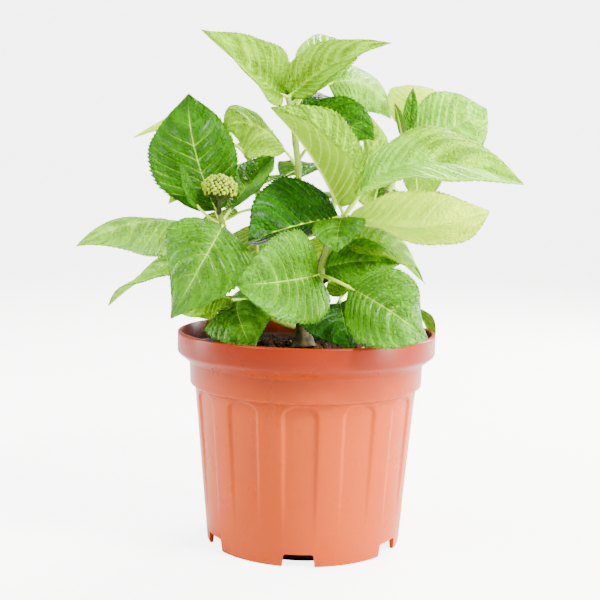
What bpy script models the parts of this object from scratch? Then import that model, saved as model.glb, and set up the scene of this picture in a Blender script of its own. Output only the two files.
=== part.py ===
"""Hydrangea shrub growing in a moulded nursery pot.

The shrub is one short stem that forks into boughs.  Every bough carries one shoot of large opposite
leaves, and the shoot at the front left ends in a young flower head.  Lengths are in millimetres and
become metres where a mesh is made.  +Z is up and the origin is the middle of the pot's underside.
"""
import math
import random
from collections import namedtuple

import bpy
import bmesh
from mathutils import Vector
from mathutils.bvhtree import BVHTree

MM = 0.001
GAP = 0.3                      # clearance kept between neighbouring solids
SEED = 566

# ---------------------------------------------------------------- pot
POT_HEIGHT = 139.6
FOOT_RADIUS = 64.25            # outer wall at the underside
SHOULDER_RADIUS = 73.4         # outer wall where it meets the collar
COLLAR_RADIUS = 76.6
RIM_RADIUS = 85.0
RIM_BAND = 14.6                # height of the upright rim band
COLLAR_BOTTOM = 105.0
WALL = 1.6
FLUTES = 12
FLUTE_HALF_ANGLE = 8.4         # degrees
FLUTE_EDGE = 1.1               # degrees taken by a flute's steep side
FLUTE_DEPTH = 1.4
FLUTE_TOP = 103.6
FLUTE_FADE = 20.0              # height where a flute has faded out
PATTERN_TURN = -92.2           # direction of the front flute and of its notch
NOTCHES = 6
NOTCH_HEIGHT = 8.2
NOTCH_WIDTH_TOP = 17.5
NOTCH_WIDTH_FOOT = 20.5
CHANNEL_OUTER = 61.8           # raised ring under the pot that the notches open into
CHANNEL_INNER = 52.0
CHANNEL_HEIGHT = 10.0

# ---------------------------------------------------------------- potting mix
MIX_EDGE = 125.5
MIX_TOP = 128.0
MIX_FLAT = 30.0                # radius of the level middle of the mix
MIX_SIDES = 32

# ---------------------------------------------------------------- stem and boughs
STEM_FOOT = Vector((-1.5, 3.0, MIX_TOP + GAP))
STEM_FORK = Vector((-4.0, 8.0, 170.0))
STEM_FOOT_RADIUS = 5.4
STEM_FORK_RADIUS = 4.2
STEM_FLARE = 3.4               # how far the root flare stands out at the mix
STEM_SIDES = 12
BOUGH_SIDES = 8
SHOOT_SIDES = 6
SHOOT_RADIUS = 2.6
SHOOT_TIP_RADIUS = 1.9

# ---------------------------------------------------------------- leaves
LEAF_THICK = 1.2
LEAF_COLUMNS = (-1.0, 0.0, 1.0)          # left margin, midrib, right margin
LEAF_ROWS = (0.0, 0.09, 0.23, 0.40, 0.58, 0.75, 0.89, 1.0)
STALK_RADIUS = 1.5
CLEAR = 0.6                    # a leaf keeps this far from whatever grew before it
TRIES = 60

# ---------------------------------------------------------------- flower head
HEAD_RADIUS = 10.4
HEAD_HEIGHT = 7.6
BUDS = 26
BUD_RADIUS = 2.2

# A bough leaves the stem at a height, in a compass direction and at a slope, and ends at its shoot.
Bough = namedtuple("Bough", "height turn rise radius_foot radius_tip")
# A shoot runs from its foot to its tip and bends towards the knee.
Shoot = namedtuple("Shoot", "name bough foot knee tip leaves fill")
# A leaf springs from a share of the shoot's length.  Turn and rise aim its tip, reach is how far the
# tip lies from the shoot, arch and sway bow its midrib up and sideways, roll and twist turn the blade
# about the midrib, fold lifts both halves and curl bends their margins.
Leaf = namedtuple("Leaf", "node turn rise reach width stalk arch sway roll twist fold curl bend")
Leaf.__new__.__defaults__ = (14.0, 0.10, 0.0, 0.0, 0.0, 12.0, -10.0, 0.45)
# A filling leaf is found by chance round a direction.
Fill = namedtuple("Fill", "node turn rise reach")

SHOOTS = (
    Shoot(
        "left_front", Bough(150.0, 205.0, 40.0, 3.4, 2.8),
        (-45.0, -22.0, 186.0), (-53.0, -27.0, 200.0), (-56.5, -30.0, 219.0),
        (
            Leaf(0.72, 233.8, -49.5, 72.4, 60.6, stalk=3, arch=0.31, sway=-0.06, roll=-37, twist=40,
                 fold=-7, curl=-9, bend=0.38),
            Leaf(0.50, 160.8, -5, 109.4, 51.3, stalk=21.1, arch=0.06, sway=0.11, roll=-56, twist=-84,
                 fold=-40, curl=-22, bend=0.47),
            Leaf(0.05, 162, -21, 98, 44, stalk=22, arch=0.12, roll=-20, twist=44),
            Leaf(0.70, 126.1, 62.2, 96.4, 64.3, stalk=9.7, arch=0.05, sway=-0.07, roll=-17, twist=-58,
                 fold=-6, curl=-15, bend=0.55),
            Leaf(0.77, 62.1, 33.9, 80.6, 40.9, stalk=14.2, arch=-0.04, sway=-0.07, twist=-5, fold=27,
                 curl=-9, bend=0.59),
            Leaf(0.72, 222, 49.1, 50.5, 14.6, stalk=22, arch=-0.12, sway=-0.04, roll=-64, twist=2,
                 fold=13, bend=0.42),
        ),
        (),
    ),
    Shoot(
        "centre", Bough(156.0, 300.0, 50.0, 3.4, 2.8),
        (7.0, -16.0, 167.0), (9.0, -25.0, 196.0), (22.6, -17.0, 216.0),
        (
            Leaf(0.20, 229, -1.7, 77.1, 63.8, stalk=3, arch=0.11, sway=-0.03, roll=-75, twist=-5,
                 fold=23, curl=-1, bend=0.75),
            Leaf(0.20, 316.1, -20, 93.4, 53.4, stalk=26, arch=0.25, sway=0.03, roll=53, twist=-32,
                 fold=2, curl=-22, bend=0.85),
            Leaf(0.52, 24, -17, 74, 52, stalk=10, arch=0.22, roll=30),
            Leaf(0.98, 213.3, -12.2, 71.6, 69.3, stalk=3, arch=-0.06, roll=-111, twist=-13, fold=-42,
                 curl=-11, bend=0.49),
            Leaf(0.98, 369.3, 3.3, 97.6, 57, stalk=3, arch=-0.02, sway=0.11, roll=43, twist=57,
                 fold=25, curl=-8, bend=0.48),
            Leaf(1.00, -9.7, 11, 114.2, 65.3, stalk=17, arch=0.25, roll=34, twist=22, fold=19,
                 curl=-11, bend=0.39),
            Leaf(1.00, 198.9, 52.8, 83.3, 63.6, stalk=5.1, arch=0.06, sway=0.01, roll=-40, twist=-15,
                 fold=55, curl=2, bend=0.56),
            Leaf(1.00, 77, 62, 82, 34, stalk=38, arch=0.02, sway=0.18, roll=64, fold=42),
        ),
        (),
    ),
    Shoot(
        "top", Bough(170.3, 90.0, 90.0, 4.2, 2.8),
        (-7.0, 17.0, 232.0), (-8.0, 19.0, 262.0), (-15.4, 22.0, 293.0),
        (
            Leaf(0.24, 192.9, 26.4, 56.1, 56.4, stalk=8.4, arch=0.14, sway=0.16, roll=-44, twist=-43,
                 fold=-16, curl=-9, bend=0.77),
            Leaf(0.52, 334.7, 1.5, 56.6, 44.6, stalk=4.6, arch=0.08, sway=-0.18, roll=55, twist=-34,
                 curl=-11, bend=0.49),
            Leaf(1.00, 206.6, 32.5, 74, 51.5, stalk=7.7, arch=0, sway=-0.03, roll=-58, twist=36,
                 fold=30, curl=-1, bend=0.25),
            Leaf(1.00, 352, 27.7, 77.3, 44.6, stalk=3, arch=0.05, sway=-0.05, roll=42, twist=-43,
                 fold=22, curl=-11, bend=0.42),
            Leaf(0.80, 57.3, 35, 93, 42.6, stalk=13.1, arch=0.27, sway=0.06, roll=20, twist=6, fold=11,
                 curl=-9, bend=0.49),
            Leaf(0.92, 29.1, -3.8, 81.3, 46.4, stalk=21.8, arch=0.15, sway=-0.23, roll=69, twist=25,
                 fold=-20, curl=-21, bend=0.64),
        ),
        (Fill(0.30, 40, -5, 74), Fill(0.75, 60, 0, 70)),
    ),
    Shoot(
        "right_rear", Bough(160.0, 20.0, 40.0, 3.2, 2.6),
        (54.0, 33.0, 232.0), (61.0, 35.0, 248.0), (67.0, 37.0, 268.0),
        (
            Leaf(0.90, 360.2, 24.7, 59.8, 55.2, stalk=4.1, arch=0.04, sway=0.04, roll=76, twist=8,
                 fold=9, curl=-8, bend=0.61),
            Leaf(1.00, 0.1, 85.9, 34.9, 10.1, stalk=5, arch=0.04, roll=79, fold=11, curl=-9, bend=0.46),
            Leaf(0.82, 215, 72, 32, 10, stalk=8, arch=0.04, fold=10),
            Leaf(0.90, 75.4, 35.3, 75.4, 36.5, stalk=9.6, arch=0.22, sway=-0.03, roll=10, twist=-7,
                 fold=0, bend=0.46),
        ),
        (Fill(0.50, 40, -10, 70), Fill(0.66, 130, 10, 66), Fill(0.20, 135, -15, 70), Fill(0.15, 60, -30, 78)),
    ),
    Shoot(
        "left_rear", Bough(162.0, 140.0, 46.0, 3.2, 2.6),
        (-30.0, 38.0, 206.0), (-36.0, 46.0, 232.0), (-44.0, 52.0, 258.0),
        (
            Leaf(0.90, 181, 9, 82, 44, arch=0.2, roll=-20),
            Leaf(0.52, 279.2, 2.5, 31.6, 33.9, stalk=4.4, arch=0.18, sway=-0.01, twist=1, fold=5, curl=1),
        ),
        (Fill(0.95, 118, 12, 76), Fill(0.45, 128, -5, 84), Fill(0.12, 118, -35, 78),
         Fill(0.25, 165, -20, 76)),
    ),
    Shoot(
        "rear", Bough(154.0, 75.0, 44.0, 3.2, 2.6),
        (14.0, 50.0, 196.0), (18.0, 60.0, 222.0), (20.0, 66.0, 248.0),
        (
            Leaf(0.35, 354, -35, 82, 44, arch=0.05),
            Leaf(0.90, 233, -4, 44, 36, stalk=6, arch=0.16),
        ),
        (Fill(0.98, 75, 40, 66), Fill(0.85, 155, 5, 70), Fill(0.50, 20, 0, 80), Fill(0.50, 100, 0, 86),
         Fill(0.12, 60, -20, 84), Fill(0.12, 140, -25, 76), Fill(0.25, 95, -40, 80)),
    ),
    Shoot(
        "low_left", None,
        (-8.6, 1.0, 142.0), (-26.0, -12.0, 148.0), (-38.0, -26.0, 161.0),
        (
            Leaf(0.96, 277, -29.3, 51.6, 50.5, stalk=9.3, arch=0.29, sway=0.08, roll=21, twist=-1,
                 fold=-10, curl=-18, bend=0.44),
            Leaf(0.99, 191.6, -10.5, 43.2, 68.7, stalk=12.6, arch=0.08, sway=-0.01, roll=-9, twist=-17,
                 fold=14, curl=-23, bend=0.39),
        ),
        (Fill(0.90, 120, 0, 80), Fill(0.50, 125, -8, 80), Fill(0.20, 155, 2, 80)),
    ),
    Shoot(
        "low_right", None,
        (4.4, 3.0, 141.0), (14.0, -4.0, 146.0), (22.0, -12.0, 160.0),
        (
            Leaf(0.98, 277, -26, 54, 56, stalk=4, arch=0.12, roll=20),
            Leaf(0.58, 26.2, -20.1, 85.6, 29.3, stalk=15.6, arch=0.28, sway=-0.03, roll=4, twist=3,
                 fold=14, bend=0.8),
        ),
        (Fill(0.80, 30, -6, 70), Fill(0.50, 115, -6, 76), Fill(0.25, 75, 4, 78)),
    ),
)


def heading(turn, rise):
    """Unit vector for a compass direction and a slope, both in degrees."""
    turn = math.radians(turn)
    rise = math.radians(rise)
    return Vector((math.cos(rise) * math.cos(turn), math.cos(rise) * math.sin(turn), math.sin(rise)))


def bezier(points, t):
    """Point on the Bezier curve of the given control points."""
    points = [Vector(point) for point in points]
    while len(points) > 1:
        points = [a.lerp(b, t) for a, b in zip(points, points[1:])]
    return points[0]


def slope(points, t):
    """Unit tangent of the Bezier curve of the given control points."""
    step = 0.01
    return (bezier(points, min(1.0, t + step)) - bezier(points, max(0.0, t - step))).normalized()


def ring(centre, axis, radius, sides, lead):
    """Corners of a polygon round an axis, the first one on the side of lead."""
    across = (lead - axis * lead.dot(axis)).normalized()
    along = axis.cross(across)
    corners = []
    for k in range(sides):
        angle = 2.0 * math.pi * k / sides
        corners.append(centre + (across * math.cos(angle) + along * math.sin(angle)) * radius)
    return corners


def skin(rings):
    """Close a row of equal rings into one solid with flat ends."""
    sides = len(rings[0])
    points = [point for one in rings for point in one]
    faces = []
    for row in range(len(rings) - 1):
        for k in range(sides):
            a = row * sides + k
            b = row * sides + (k + 1) % sides
            faces.append((a, b, b + sides, a + sides))
    last = (len(rings) - 1) * sides
    faces.append(tuple(reversed(range(sides))))
    faces.append(tuple(range(last, last + sides)))
    return points, faces


def tube(controls, radius_foot, radius_tip, sides, steps):
    """Tapering limb along a Bezier curve."""
    lead = Vector((0.31, 0.87, 0.11))
    rings = []
    for k in range(steps + 1):
        t = k / steps
        radius = radius_foot + (radius_tip - radius_foot) * t
        rings.append(ring(bezier(controls, t), slope(controls, t), radius, sides, lead))
    return skin(rings)


def half_width(share):
    """Outline of a leaf: half its width, as a share of the widest, along the blade."""
    if share <= 0.0 or share >= 1.0:
        return 0.0
    return math.sin(math.pi * share ** 0.75) ** 0.6 * (1.0 - 0.7 * share ** 8)


def leaf_axis(leaf, root):
    """Midrib of a leaf: control points, upper-face normal and right-hand side of its chord."""
    along = heading(leaf.turn, leaf.rise)
    side = along.cross(Vector((0.0, 0.0, 1.0))).normalized()
    upper = side.cross(along)
    roll = math.radians(leaf.roll)
    normal = upper * math.cos(roll) + side * math.sin(roll)
    across = along.cross(normal)
    bow = normal * 2.0 * leaf.arch + across * 2.0 * leaf.sway
    controls = (root, root + (along * leaf.bend + bow) * leaf.reach, root + along * leaf.reach)
    return controls, normal


def leaf_section(leaf, controls, normal, share):
    """Middle, side direction and upper normal of the blade at a share of its length."""
    start = leaf.stalk / leaf.reach
    t = start + (1.0 - start) * share
    along = slope(controls, t)
    upper = (normal - along * normal.dot(along)).normalized()
    across = along.cross(upper)
    twist = math.radians(leaf.twist) * (share - 0.5)
    turned = upper * math.cos(twist) + across * math.sin(twist)
    return bezier(controls, t), along.cross(turned), turned


def blade_point(leaf, centre, across, upper, half, column):
    """Point of the blade at a column from -1 (left margin) to 1 (right margin)."""
    sign = 1.0 if column > 0.0 else -1.0
    inner = min(abs(column), 0.5) * half
    outer = max(0.0, abs(column) - 0.5) * half
    fold = math.radians(leaf.fold)
    rim = math.radians(leaf.fold + leaf.curl)
    out = inner * math.cos(fold) + outer * math.cos(rim)
    lift = inner * math.sin(fold) + outer * math.sin(rim)
    return centre + across * (sign * out) + upper * lift


def blade_sheet(leaf, root, margin):
    """Open sheet of a leaf blade: rows of points, single points at its base and tip."""
    controls, normal = leaf_axis(leaf, root)
    rows = []
    for share in LEAF_ROWS:
        centre, across, upper = leaf_section(leaf, controls, normal, share)
        half = 0.5 * leaf.width * half_width(share)
        if half == 0.0:
            rows.append([centre])
        else:
            rows.append([blade_point(leaf, centre, across, upper, half + margin, c) for c in LEAF_COLUMNS])
    return rows


def sheet_faces(rows):
    """Faces between neighbouring rows of a sheet, upper side out."""
    starts = [0]
    for row in rows:
        starts.append(starts[-1] + len(row))
    faces = []
    for k in range(len(rows) - 1):
        low, high = starts[k], starts[k + 1]
        for j in range(len(LEAF_COLUMNS) - 1):
            if len(rows[k]) == 1:
                faces.append((low, high + j + 1, high + j))
            elif len(rows[k + 1]) == 1:
                faces.append((low + j, low + j + 1, high))
            else:
                faces.append((low + j, low + j + 1, high + j + 1))
                faces.append((low + j, high + j + 1, high + j))
    return faces


def thicken(rows, thick):
    """Turn a sheet into a closed blade of even thickness."""
    points = [point for row in rows for point in row]
    faces = sheet_faces(rows)
    normals = [Vector((0.0, 0.0, 0.0)) for _ in points]
    edges = {}
    for a, b, c in faces:
        normal = (points[b] - points[a]).cross(points[c] - points[a])
        for index in (a, b, c):
            normals[index] += normal
        for edge in ((a, b), (b, c), (c, a)):
            edges[edge] = True
    count = len(points)
    upper = [p + n.normalized() * (0.5 * thick) for p, n in zip(points, normals)]
    lower = [p - n.normalized() * (0.5 * thick) for p, n in zip(points, normals)]
    solid = list(faces)
    solid += [(c + count, b + count, a + count) for a, b, c in faces]
    solid += [(a, a + count, b + count, b) for a, b in edges if (b, a) not in edges]
    return upper + lower, solid


def blade(leaf, root, extra):
    """Closed blade of a leaf, swollen all round by extra."""
    return thicken(blade_sheet(leaf, root, extra), LEAF_THICK + 2.0 * extra)


def stalk(leaf, root, extra):
    """Stalk of a leaf, from inside the shoot to well inside the blade."""
    controls, _ = leaf_axis(leaf, root)
    end = leaf.stalk / leaf.reach + 0.12
    steps = 2
    rings = []
    for k in range(steps + 1):
        t = end * k / steps
        radius = STALK_RADIUS * (1.0 - 0.3 * k / steps) + extra
        rings.append(ring(bezier(controls, t), slope(controls, t), radius, 4, Vector((0.3, 0.2, 0.9))))
    return skin(rings)


def tree_of(solid):
    """Search tree of a solid's surface."""
    points, faces = solid
    return BVHTree.FromPolygons(points, faces)


class Garden:
    """Everything that has grown so far, so that the next leaf can keep clear of it."""

    def __init__(self):
        self.solids = []

    def add(self, solid, owner, root=None):
        """Remember a solid, whose it is and which point it springs from."""
        self.solids.append((tree_of(solid), owner, root))

    def free(self, solid, owner=None, root=None):
        """Tell whether a solid is clear of all others, its own shoot's stem and node apart."""
        tree = tree_of(solid)
        for other, other_owner, other_root in self.solids:
            if owner is not None and owner == other_owner:
                if other_root is None or (other_root - root).length < 6.0:
                    continue
            if tree.overlap(other):
                return False
        return True


def shoot_controls(shoot):
    """Control points of a shoot's stem."""
    return (Vector(shoot.foot), Vector(shoot.knee), Vector(shoot.tip))


def sprout(garden, name, leaf, root):
    """Grow one leaf if it is clear of everything, and return its blade and stalk."""
    if not garden.free(blade(leaf, root, CLEAR)):
        return None
    if not garden.free(stalk(leaf, root, 0.4), name, root):
        return None
    pieces = (blade(leaf, root, 0.0), stalk(leaf, root, 0.0))
    garden.add(pieces[0], name + "_blade")
    garden.add(pieces[1], name, root)
    return pieces


def chance_leaf(fill, rng):
    """A leaf near the direction of a fill, with its sizes left to chance."""
    reach = fill.reach * rng.uniform(0.72, 1.12)
    return Leaf(
        fill.node, fill.turn + rng.uniform(-34.0, 34.0), fill.rise + rng.uniform(-18.0, 22.0), reach,
        reach * rng.uniform(0.54, 0.66), stalk=rng.uniform(8.0, 18.0), arch=rng.uniform(0.08, 0.2),
        sway=rng.uniform(-0.06, 0.06), roll=rng.uniform(-24.0, 24.0), twist=rng.uniform(-16.0, 16.0),
        fold=rng.uniform(6.0, 20.0), curl=rng.uniform(-18.0, -4.0),
    )


def grow_leaves(garden, shoot):
    """Blades and stalks of the leaves that are set one by one on a shoot."""
    controls = shoot_controls(shoot)
    pieces = []
    for leaf in shoot.leaves:
        grown = sprout(garden, shoot.name, leaf, bezier(controls, leaf.node))
        if grown:
            pieces += grown
    return pieces


def fill_leaves(garden, shoot, rng):
    """Leaves drawn by the seeded rule; a try that meets anything is given up for the next."""
    controls = shoot_controls(shoot)
    pieces = []
    for fill in shoot.fill:
        root = bezier(controls, fill.node)
        for _ in range(TRIES):
            grown = sprout(garden, shoot.name, chance_leaf(fill, rng), root)
            if grown:
                pieces += grown
                break
    return pieces


def stem_axis(height):
    """Middle and radius of the main stem at a height, root flare included."""
    share = (height - STEM_FOOT.z) / (STEM_FORK.z - STEM_FOOT.z)
    flare = STEM_FLARE * math.exp(-(height - STEM_FOOT.z) / 4.5)
    radius = STEM_FOOT_RADIUS + (STEM_FORK_RADIUS - STEM_FOOT_RADIUS) * share + flare
    return STEM_FOOT.lerp(STEM_FORK, share), radius


def main_stem():
    """Leaning, tapering stem with level cuts at the mix and at the fork."""
    heights = [STEM_FOOT.z + rise for rise in (0.0, 2.5, 6.0, 12.0, 24.0)] + [STEM_FORK.z]
    rings = []
    for height in heights:
        middle, radius = stem_axis(height)
        rings.append(ring(middle, Vector((0.0, 0.0, 1.0)), radius, STEM_SIDES, Vector((1.0, 0.0, 0.0))))
    return skin(rings)


def bough_root(bough):
    """Middle of a bough's flat foot, whose upper edge lies a gap away from the stem's bark."""
    start = heading(bough.turn, bough.rise)
    level = heading(bough.turn, 0.0)
    tilt = math.radians(bough.rise)
    middle, radius = stem_axis(bough.height)
    away = radius
    for _ in range(3):
        edge = bough.height + away * math.sin(tilt) + bough.radius_foot * math.cos(tilt)
        beside, radius = stem_axis(min(edge, STEM_FORK.z))
        reach = radius + GAP + bough.radius_foot * math.sin(tilt) + (beside - middle).dot(level)
        away = reach / math.cos(tilt)
    return middle + start * away


def bough_controls(shoot):
    """Control points of the bough that carries a shoot, from the stem's bark to the shoot's foot."""
    bough = shoot.bough
    start = heading(bough.turn, bough.rise)
    foot = shoot_controls(shoot)
    if bough.rise > 89.0:
        root = Vector((STEM_FORK.x, STEM_FORK.y, STEM_FORK.z + GAP))
    else:
        root = bough_root(bough)
    reach = (foot[0] - root).length
    arrive = (foot[1] - foot[0]).normalized()
    return (root, root + start * (0.4 * reach), foot[0] - arrive * (0.35 * reach), foot[0])


def shoot_stem(shoot):
    """Stem of a shoot, from just beyond its bough's tip to its own tip."""
    controls = list(shoot_controls(shoot))
    controls[0] = controls[0] + (controls[1] - controls[0]).normalized() * GAP
    return tube(controls, SHOOT_RADIUS, SHOOT_TIP_RADIUS, SHOOT_SIDES, 5)


def flower_head(garden, shoot):
    """Domed young flower head: a stalk, a core and round buds spread evenly over it."""
    foot = Vector(shoot.tip) - Vector((0.0, 0.0, 3.0))
    middle = Vector(shoot.tip) + Vector((0.6, -3.4, 13.4))
    pieces = [tube((foot, foot.lerp(middle, 0.5), middle), 1.6, 2.2, 6, 2), ball(middle, 1.0, 12, 8)]
    golden = math.pi * (3.0 - math.sqrt(5.0))
    for k in range(BUDS):
        z = 1.0 - 1.7 * (k + 0.5) / BUDS
        round_it = math.sqrt(1.0 - z * z)
        spot = Vector((
            HEAD_RADIUS * round_it * math.cos(golden * k),
            HEAD_RADIUS * round_it * math.sin(golden * k),
            HEAD_HEIGHT * z,
        ))
        pieces.append(bud(middle + spot))
    garden.add(ball(middle, 1.2, 10, 6), shoot.name + "_head")
    return pieces


def ball(middle, swell, sides, steps):
    """Flattened ball that fills the inside of the flower head."""
    points = [middle + Vector((0.0, 0.0, -HEAD_HEIGHT * swell))]
    for row in range(1, steps):
        lift = math.pi * row / steps
        for k in range(sides):
            turn = 2.0 * math.pi * k / sides
            points.append(middle + Vector((
                HEAD_RADIUS * swell * math.sin(lift) * math.cos(turn),
                HEAD_RADIUS * swell * math.sin(lift) * math.sin(turn),
                -HEAD_HEIGHT * swell * math.cos(lift),
            )))
    points.append(middle + Vector((0.0, 0.0, HEAD_HEIGHT * swell)))
    faces = []
    top = len(points) - 1
    for k in range(sides):
        after = (k + 1) % sides
        faces.append((0, 1 + after, 1 + k))
        faces.append((top - sides + k, top - sides + after, top))
        for row in range(steps - 2):
            low = 1 + row * sides
            faces.append((low + k, low + after, low + sides + after, low + sides + k))
    return points, faces


def bud(middle):
    """One round flower bud with eight faces."""
    arms = [Vector(arm) * BUD_RADIUS for arm in ((1, 0, 0), (0, 1, 0), (-1, 0, 0), (0, -1, 0))]
    points = [middle + arm for arm in arms]
    points += [middle + Vector((0.0, 0.0, BUD_RADIUS)), middle - Vector((0.0, 0.0, BUD_RADIUS))]
    faces = []
    for k in range(4):
        after = (k + 1) % 4
        faces.append((k, after, 4))
        faces.append((after, k, 5))
    return points, faces


def outer_radius(height):
    """Radius of the pot's outer wall below the collar."""
    return FOOT_RADIUS + (SHOULDER_RADIUS - FOOT_RADIUS) * height / COLLAR_BOTTOM


def flute_depth(height):
    """Depth of a flute: full near the collar, fading out towards the foot."""
    if height >= FLUTE_TOP or height <= FLUTE_FADE:
        return 0.0
    return FLUTE_DEPTH * math.sin(0.5 * math.pi * (height - FLUTE_FADE) / (FLUTE_TOP - FLUTE_FADE)) ** 0.8


def pot_columns():
    """Angles of the pot's columns, with whether each lies on the floor of a flute."""
    columns = []
    for k in range(FLUTES):
        middle = PATTERN_TURN + 360.0 * k / FLUTES
        outer = FLUTE_HALF_ANGLE + FLUTE_EDGE
        for offset in (-outer, -FLUTE_HALF_ANGLE, 0.0, FLUTE_HALF_ANGLE, outer):
            columns.append((math.radians(middle + offset), abs(offset) < outer))
    return columns


def pot_profile():
    """Stations round the pot's section from its middle below to its middle inside: radius, height."""
    fluted = [(outer_radius(z), z) for z in (FLUTE_FADE, 38.0, 60.0, 84.0, FLUTE_TOP - 0.8)]
    outside = [
        (CHANNEL_INNER, 0.0), (CHANNEL_INNER + 1.4, CHANNEL_HEIGHT), (CHANNEL_OUTER - 0.6, CHANNEL_HEIGHT),
        (CHANNEL_OUTER, 0.0), (FOOT_RADIUS, 0.0),
    ]
    upper = [
        (outer_radius(FLUTE_TOP), FLUTE_TOP), (COLLAR_RADIUS - 0.8, COLLAR_BOTTOM - 0.4),
        (COLLAR_RADIUS - 0.1, COLLAR_BOTTOM + 0.8), (COLLAR_RADIUS + 0.4, 119.6),
        (RIM_RADIUS - 1.2, POT_HEIGHT - RIM_BAND), (RIM_RADIUS, POT_HEIGHT - RIM_BAND + 1.4),
        (RIM_RADIUS, POT_HEIGHT - 0.9), (RIM_RADIUS - 0.9, POT_HEIGHT),
        (RIM_RADIUS - 2.6, POT_HEIGHT),
        (RIM_RADIUS - 3.6, 126.6), (inner_radius(120.0), 120.0), (inner_radius(106.4), 106.4),
        (inner_radius(103.4), 103.4),
    ]
    inside = [
        (inner_radius(CHANNEL_HEIGHT + WALL), CHANNEL_HEIGHT + WALL),
        (CHANNEL_INNER - 0.4, CHANNEL_HEIGHT + WALL), (CHANNEL_INNER - 2.0, WALL),
    ]
    return outside + fluted + upper + inside


def inner_radius(height):
    """Radius of the pot's inner wall, clear of the flutes and of the collar."""
    if height > 104.0:
        return COLLAR_RADIUS - WALL - (0.6 if height < 110.0 else 0.0)
    return outer_radius(height) - WALL - FLUTE_DEPTH * height / COLLAR_BOTTOM


def pot_solid():
    """Closed pot: flutes are worked into the outer wall column by column."""
    columns = pot_columns()
    profile = pot_profile()
    points = []
    for radius, height in profile:
        for turn, deep in columns:
            cut = flute_depth(height) if deep and abs(radius - outer_radius(height)) < 0.01 else 0.0
            points.append(Vector(((radius - cut) * math.cos(turn), (radius - cut) * math.sin(turn), height)))
    sides = len(columns)
    faces = []
    for row in range(len(profile) - 1):
        for k in range(sides):
            a = row * sides + k
            b = row * sides + (k + 1) % sides
            faces.append((a, b, b + sides, a + sides))
    last = (len(profile) - 1) * sides
    points.append(Vector((0.0, 0.0, 0.0)))
    points.append(Vector((0.0, 0.0, WALL)))
    for k in range(sides):
        after = (k + 1) % sides
        faces.append((len(points) - 2, after, k))
        faces.append((last + k, last + after, len(points) - 1))
    return points, faces


def notch_cutter(turn):
    """Wedge that cuts one drainage notch through the foot of the outer wall."""
    out = heading(turn, 0.0)
    side = Vector((-out.y, out.x, 0.0))
    corners = (
        (NOTCH_WIDTH_FOOT, -1.0), (NOTCH_WIDTH_TOP + 1.2, NOTCH_HEIGHT - 1.2),
        (NOTCH_WIDTH_TOP - 1.6, NOTCH_HEIGHT),
    )
    outline = [side * (0.5 * w) + Vector((0.0, 0.0, z)) for w, z in corners]
    outline += [side * (-0.5 * w) + Vector((0.0, 0.0, z)) for w, z in reversed(corners)]
    depths = (CHANNEL_OUTER - 4.5, FOOT_RADIUS + 4.0)
    return skin([[out * reach + point for point in outline] for reach in depths])


def mix_solid():
    """Potting mix that fills the pot, level round the stem and a little lower at the wall."""
    wall = [
        (CHANNEL_INNER - 2.0 - GAP * 2.0, WALL + GAP),
        (CHANNEL_INNER - 0.8 - GAP, CHANNEL_HEIGHT + WALL + GAP),
        (inner_radius(CHANNEL_HEIGHT + WALL) - 2.0 * GAP, CHANNEL_HEIGHT + WALL + GAP),
        (inner_radius(104.0) - GAP * 1.5, 104.0),
        (inner_radius(104.0) - GAP * 1.5, 107.0), (inner_radius(120.0) - GAP * 1.5, 120.0),
        (inner_radius(120.0) - GAP * 1.5, MIX_EDGE - 1.5), (inner_radius(120.0) - 2.5, MIX_EDGE),
        (62.0, MIX_EDGE + 0.6), (MIX_FLAT + 12.0, MIX_TOP - 0.6), (MIX_FLAT, MIX_TOP),
    ]
    rings = []
    for radius, height in wall:
        angles = [2.0 * math.pi * k / MIX_SIDES for k in range(MIX_SIDES)]
        rings.append([Vector((radius * math.cos(a), radius * math.sin(a), height)) for a in angles])
    return skin(rings)


def make_material(name, colour, roughness):
    """Plain Principled material."""
    material = bpy.data.materials.new(name)
    material.use_nodes = True
    shader = material.node_tree.nodes["Principled BSDF"]
    shader.inputs["Base Color"].default_value = (*colour, 1.0)
    shader.inputs["Roughness"].default_value = roughness
    shader.inputs["Metallic"].default_value = 0.0
    return material


def make_object(name, solid, material, collection=None):
    """Mesh object in metres from a solid in millimetres."""
    points, faces = solid
    mesh = bpy.data.meshes.new(name)
    mesh.from_pydata([tuple(point * MM) for point in points], [], faces)
    mesh.materials.append(material)
    mesh.shade_smooth()
    mesh.set_sharp_from_angle(angle=math.radians(35.0))
    made = bpy.data.objects.new(name, mesh)
    (collection or bpy.context.scene.collection).objects.link(made)
    return made


def shells(bm):
    """Connected parts of a mesh, as lists of faces."""
    left = set(bm.faces)
    parts = []
    while left:
        part = []
        queue = [left.pop()]
        while queue:
            face = queue.pop()
            part.append(face)
            for edge in face.edges:
                for other in edge.link_faces:
                    if other in left:
                        left.remove(other)
                        queue.append(other)
        parts.append(part)
    return parts


def keep_main_shell(mesh):
    """Drop loose scraps and fill hollows: only the biggest shell stays."""
    bm = bmesh.new()
    bm.from_mesh(mesh)
    parts = sorted(shells(bm), key=len, reverse=True)
    for part in parts[1:]:
        bmesh.ops.delete(bm, geom=part, context="FACES")
    loose = [vert for vert in bm.verts if not vert.link_faces]
    bmesh.ops.delete(bm, geom=loose, context="VERTS")
    bm.to_mesh(mesh)
    bm.free()
    return len(parts)


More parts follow.
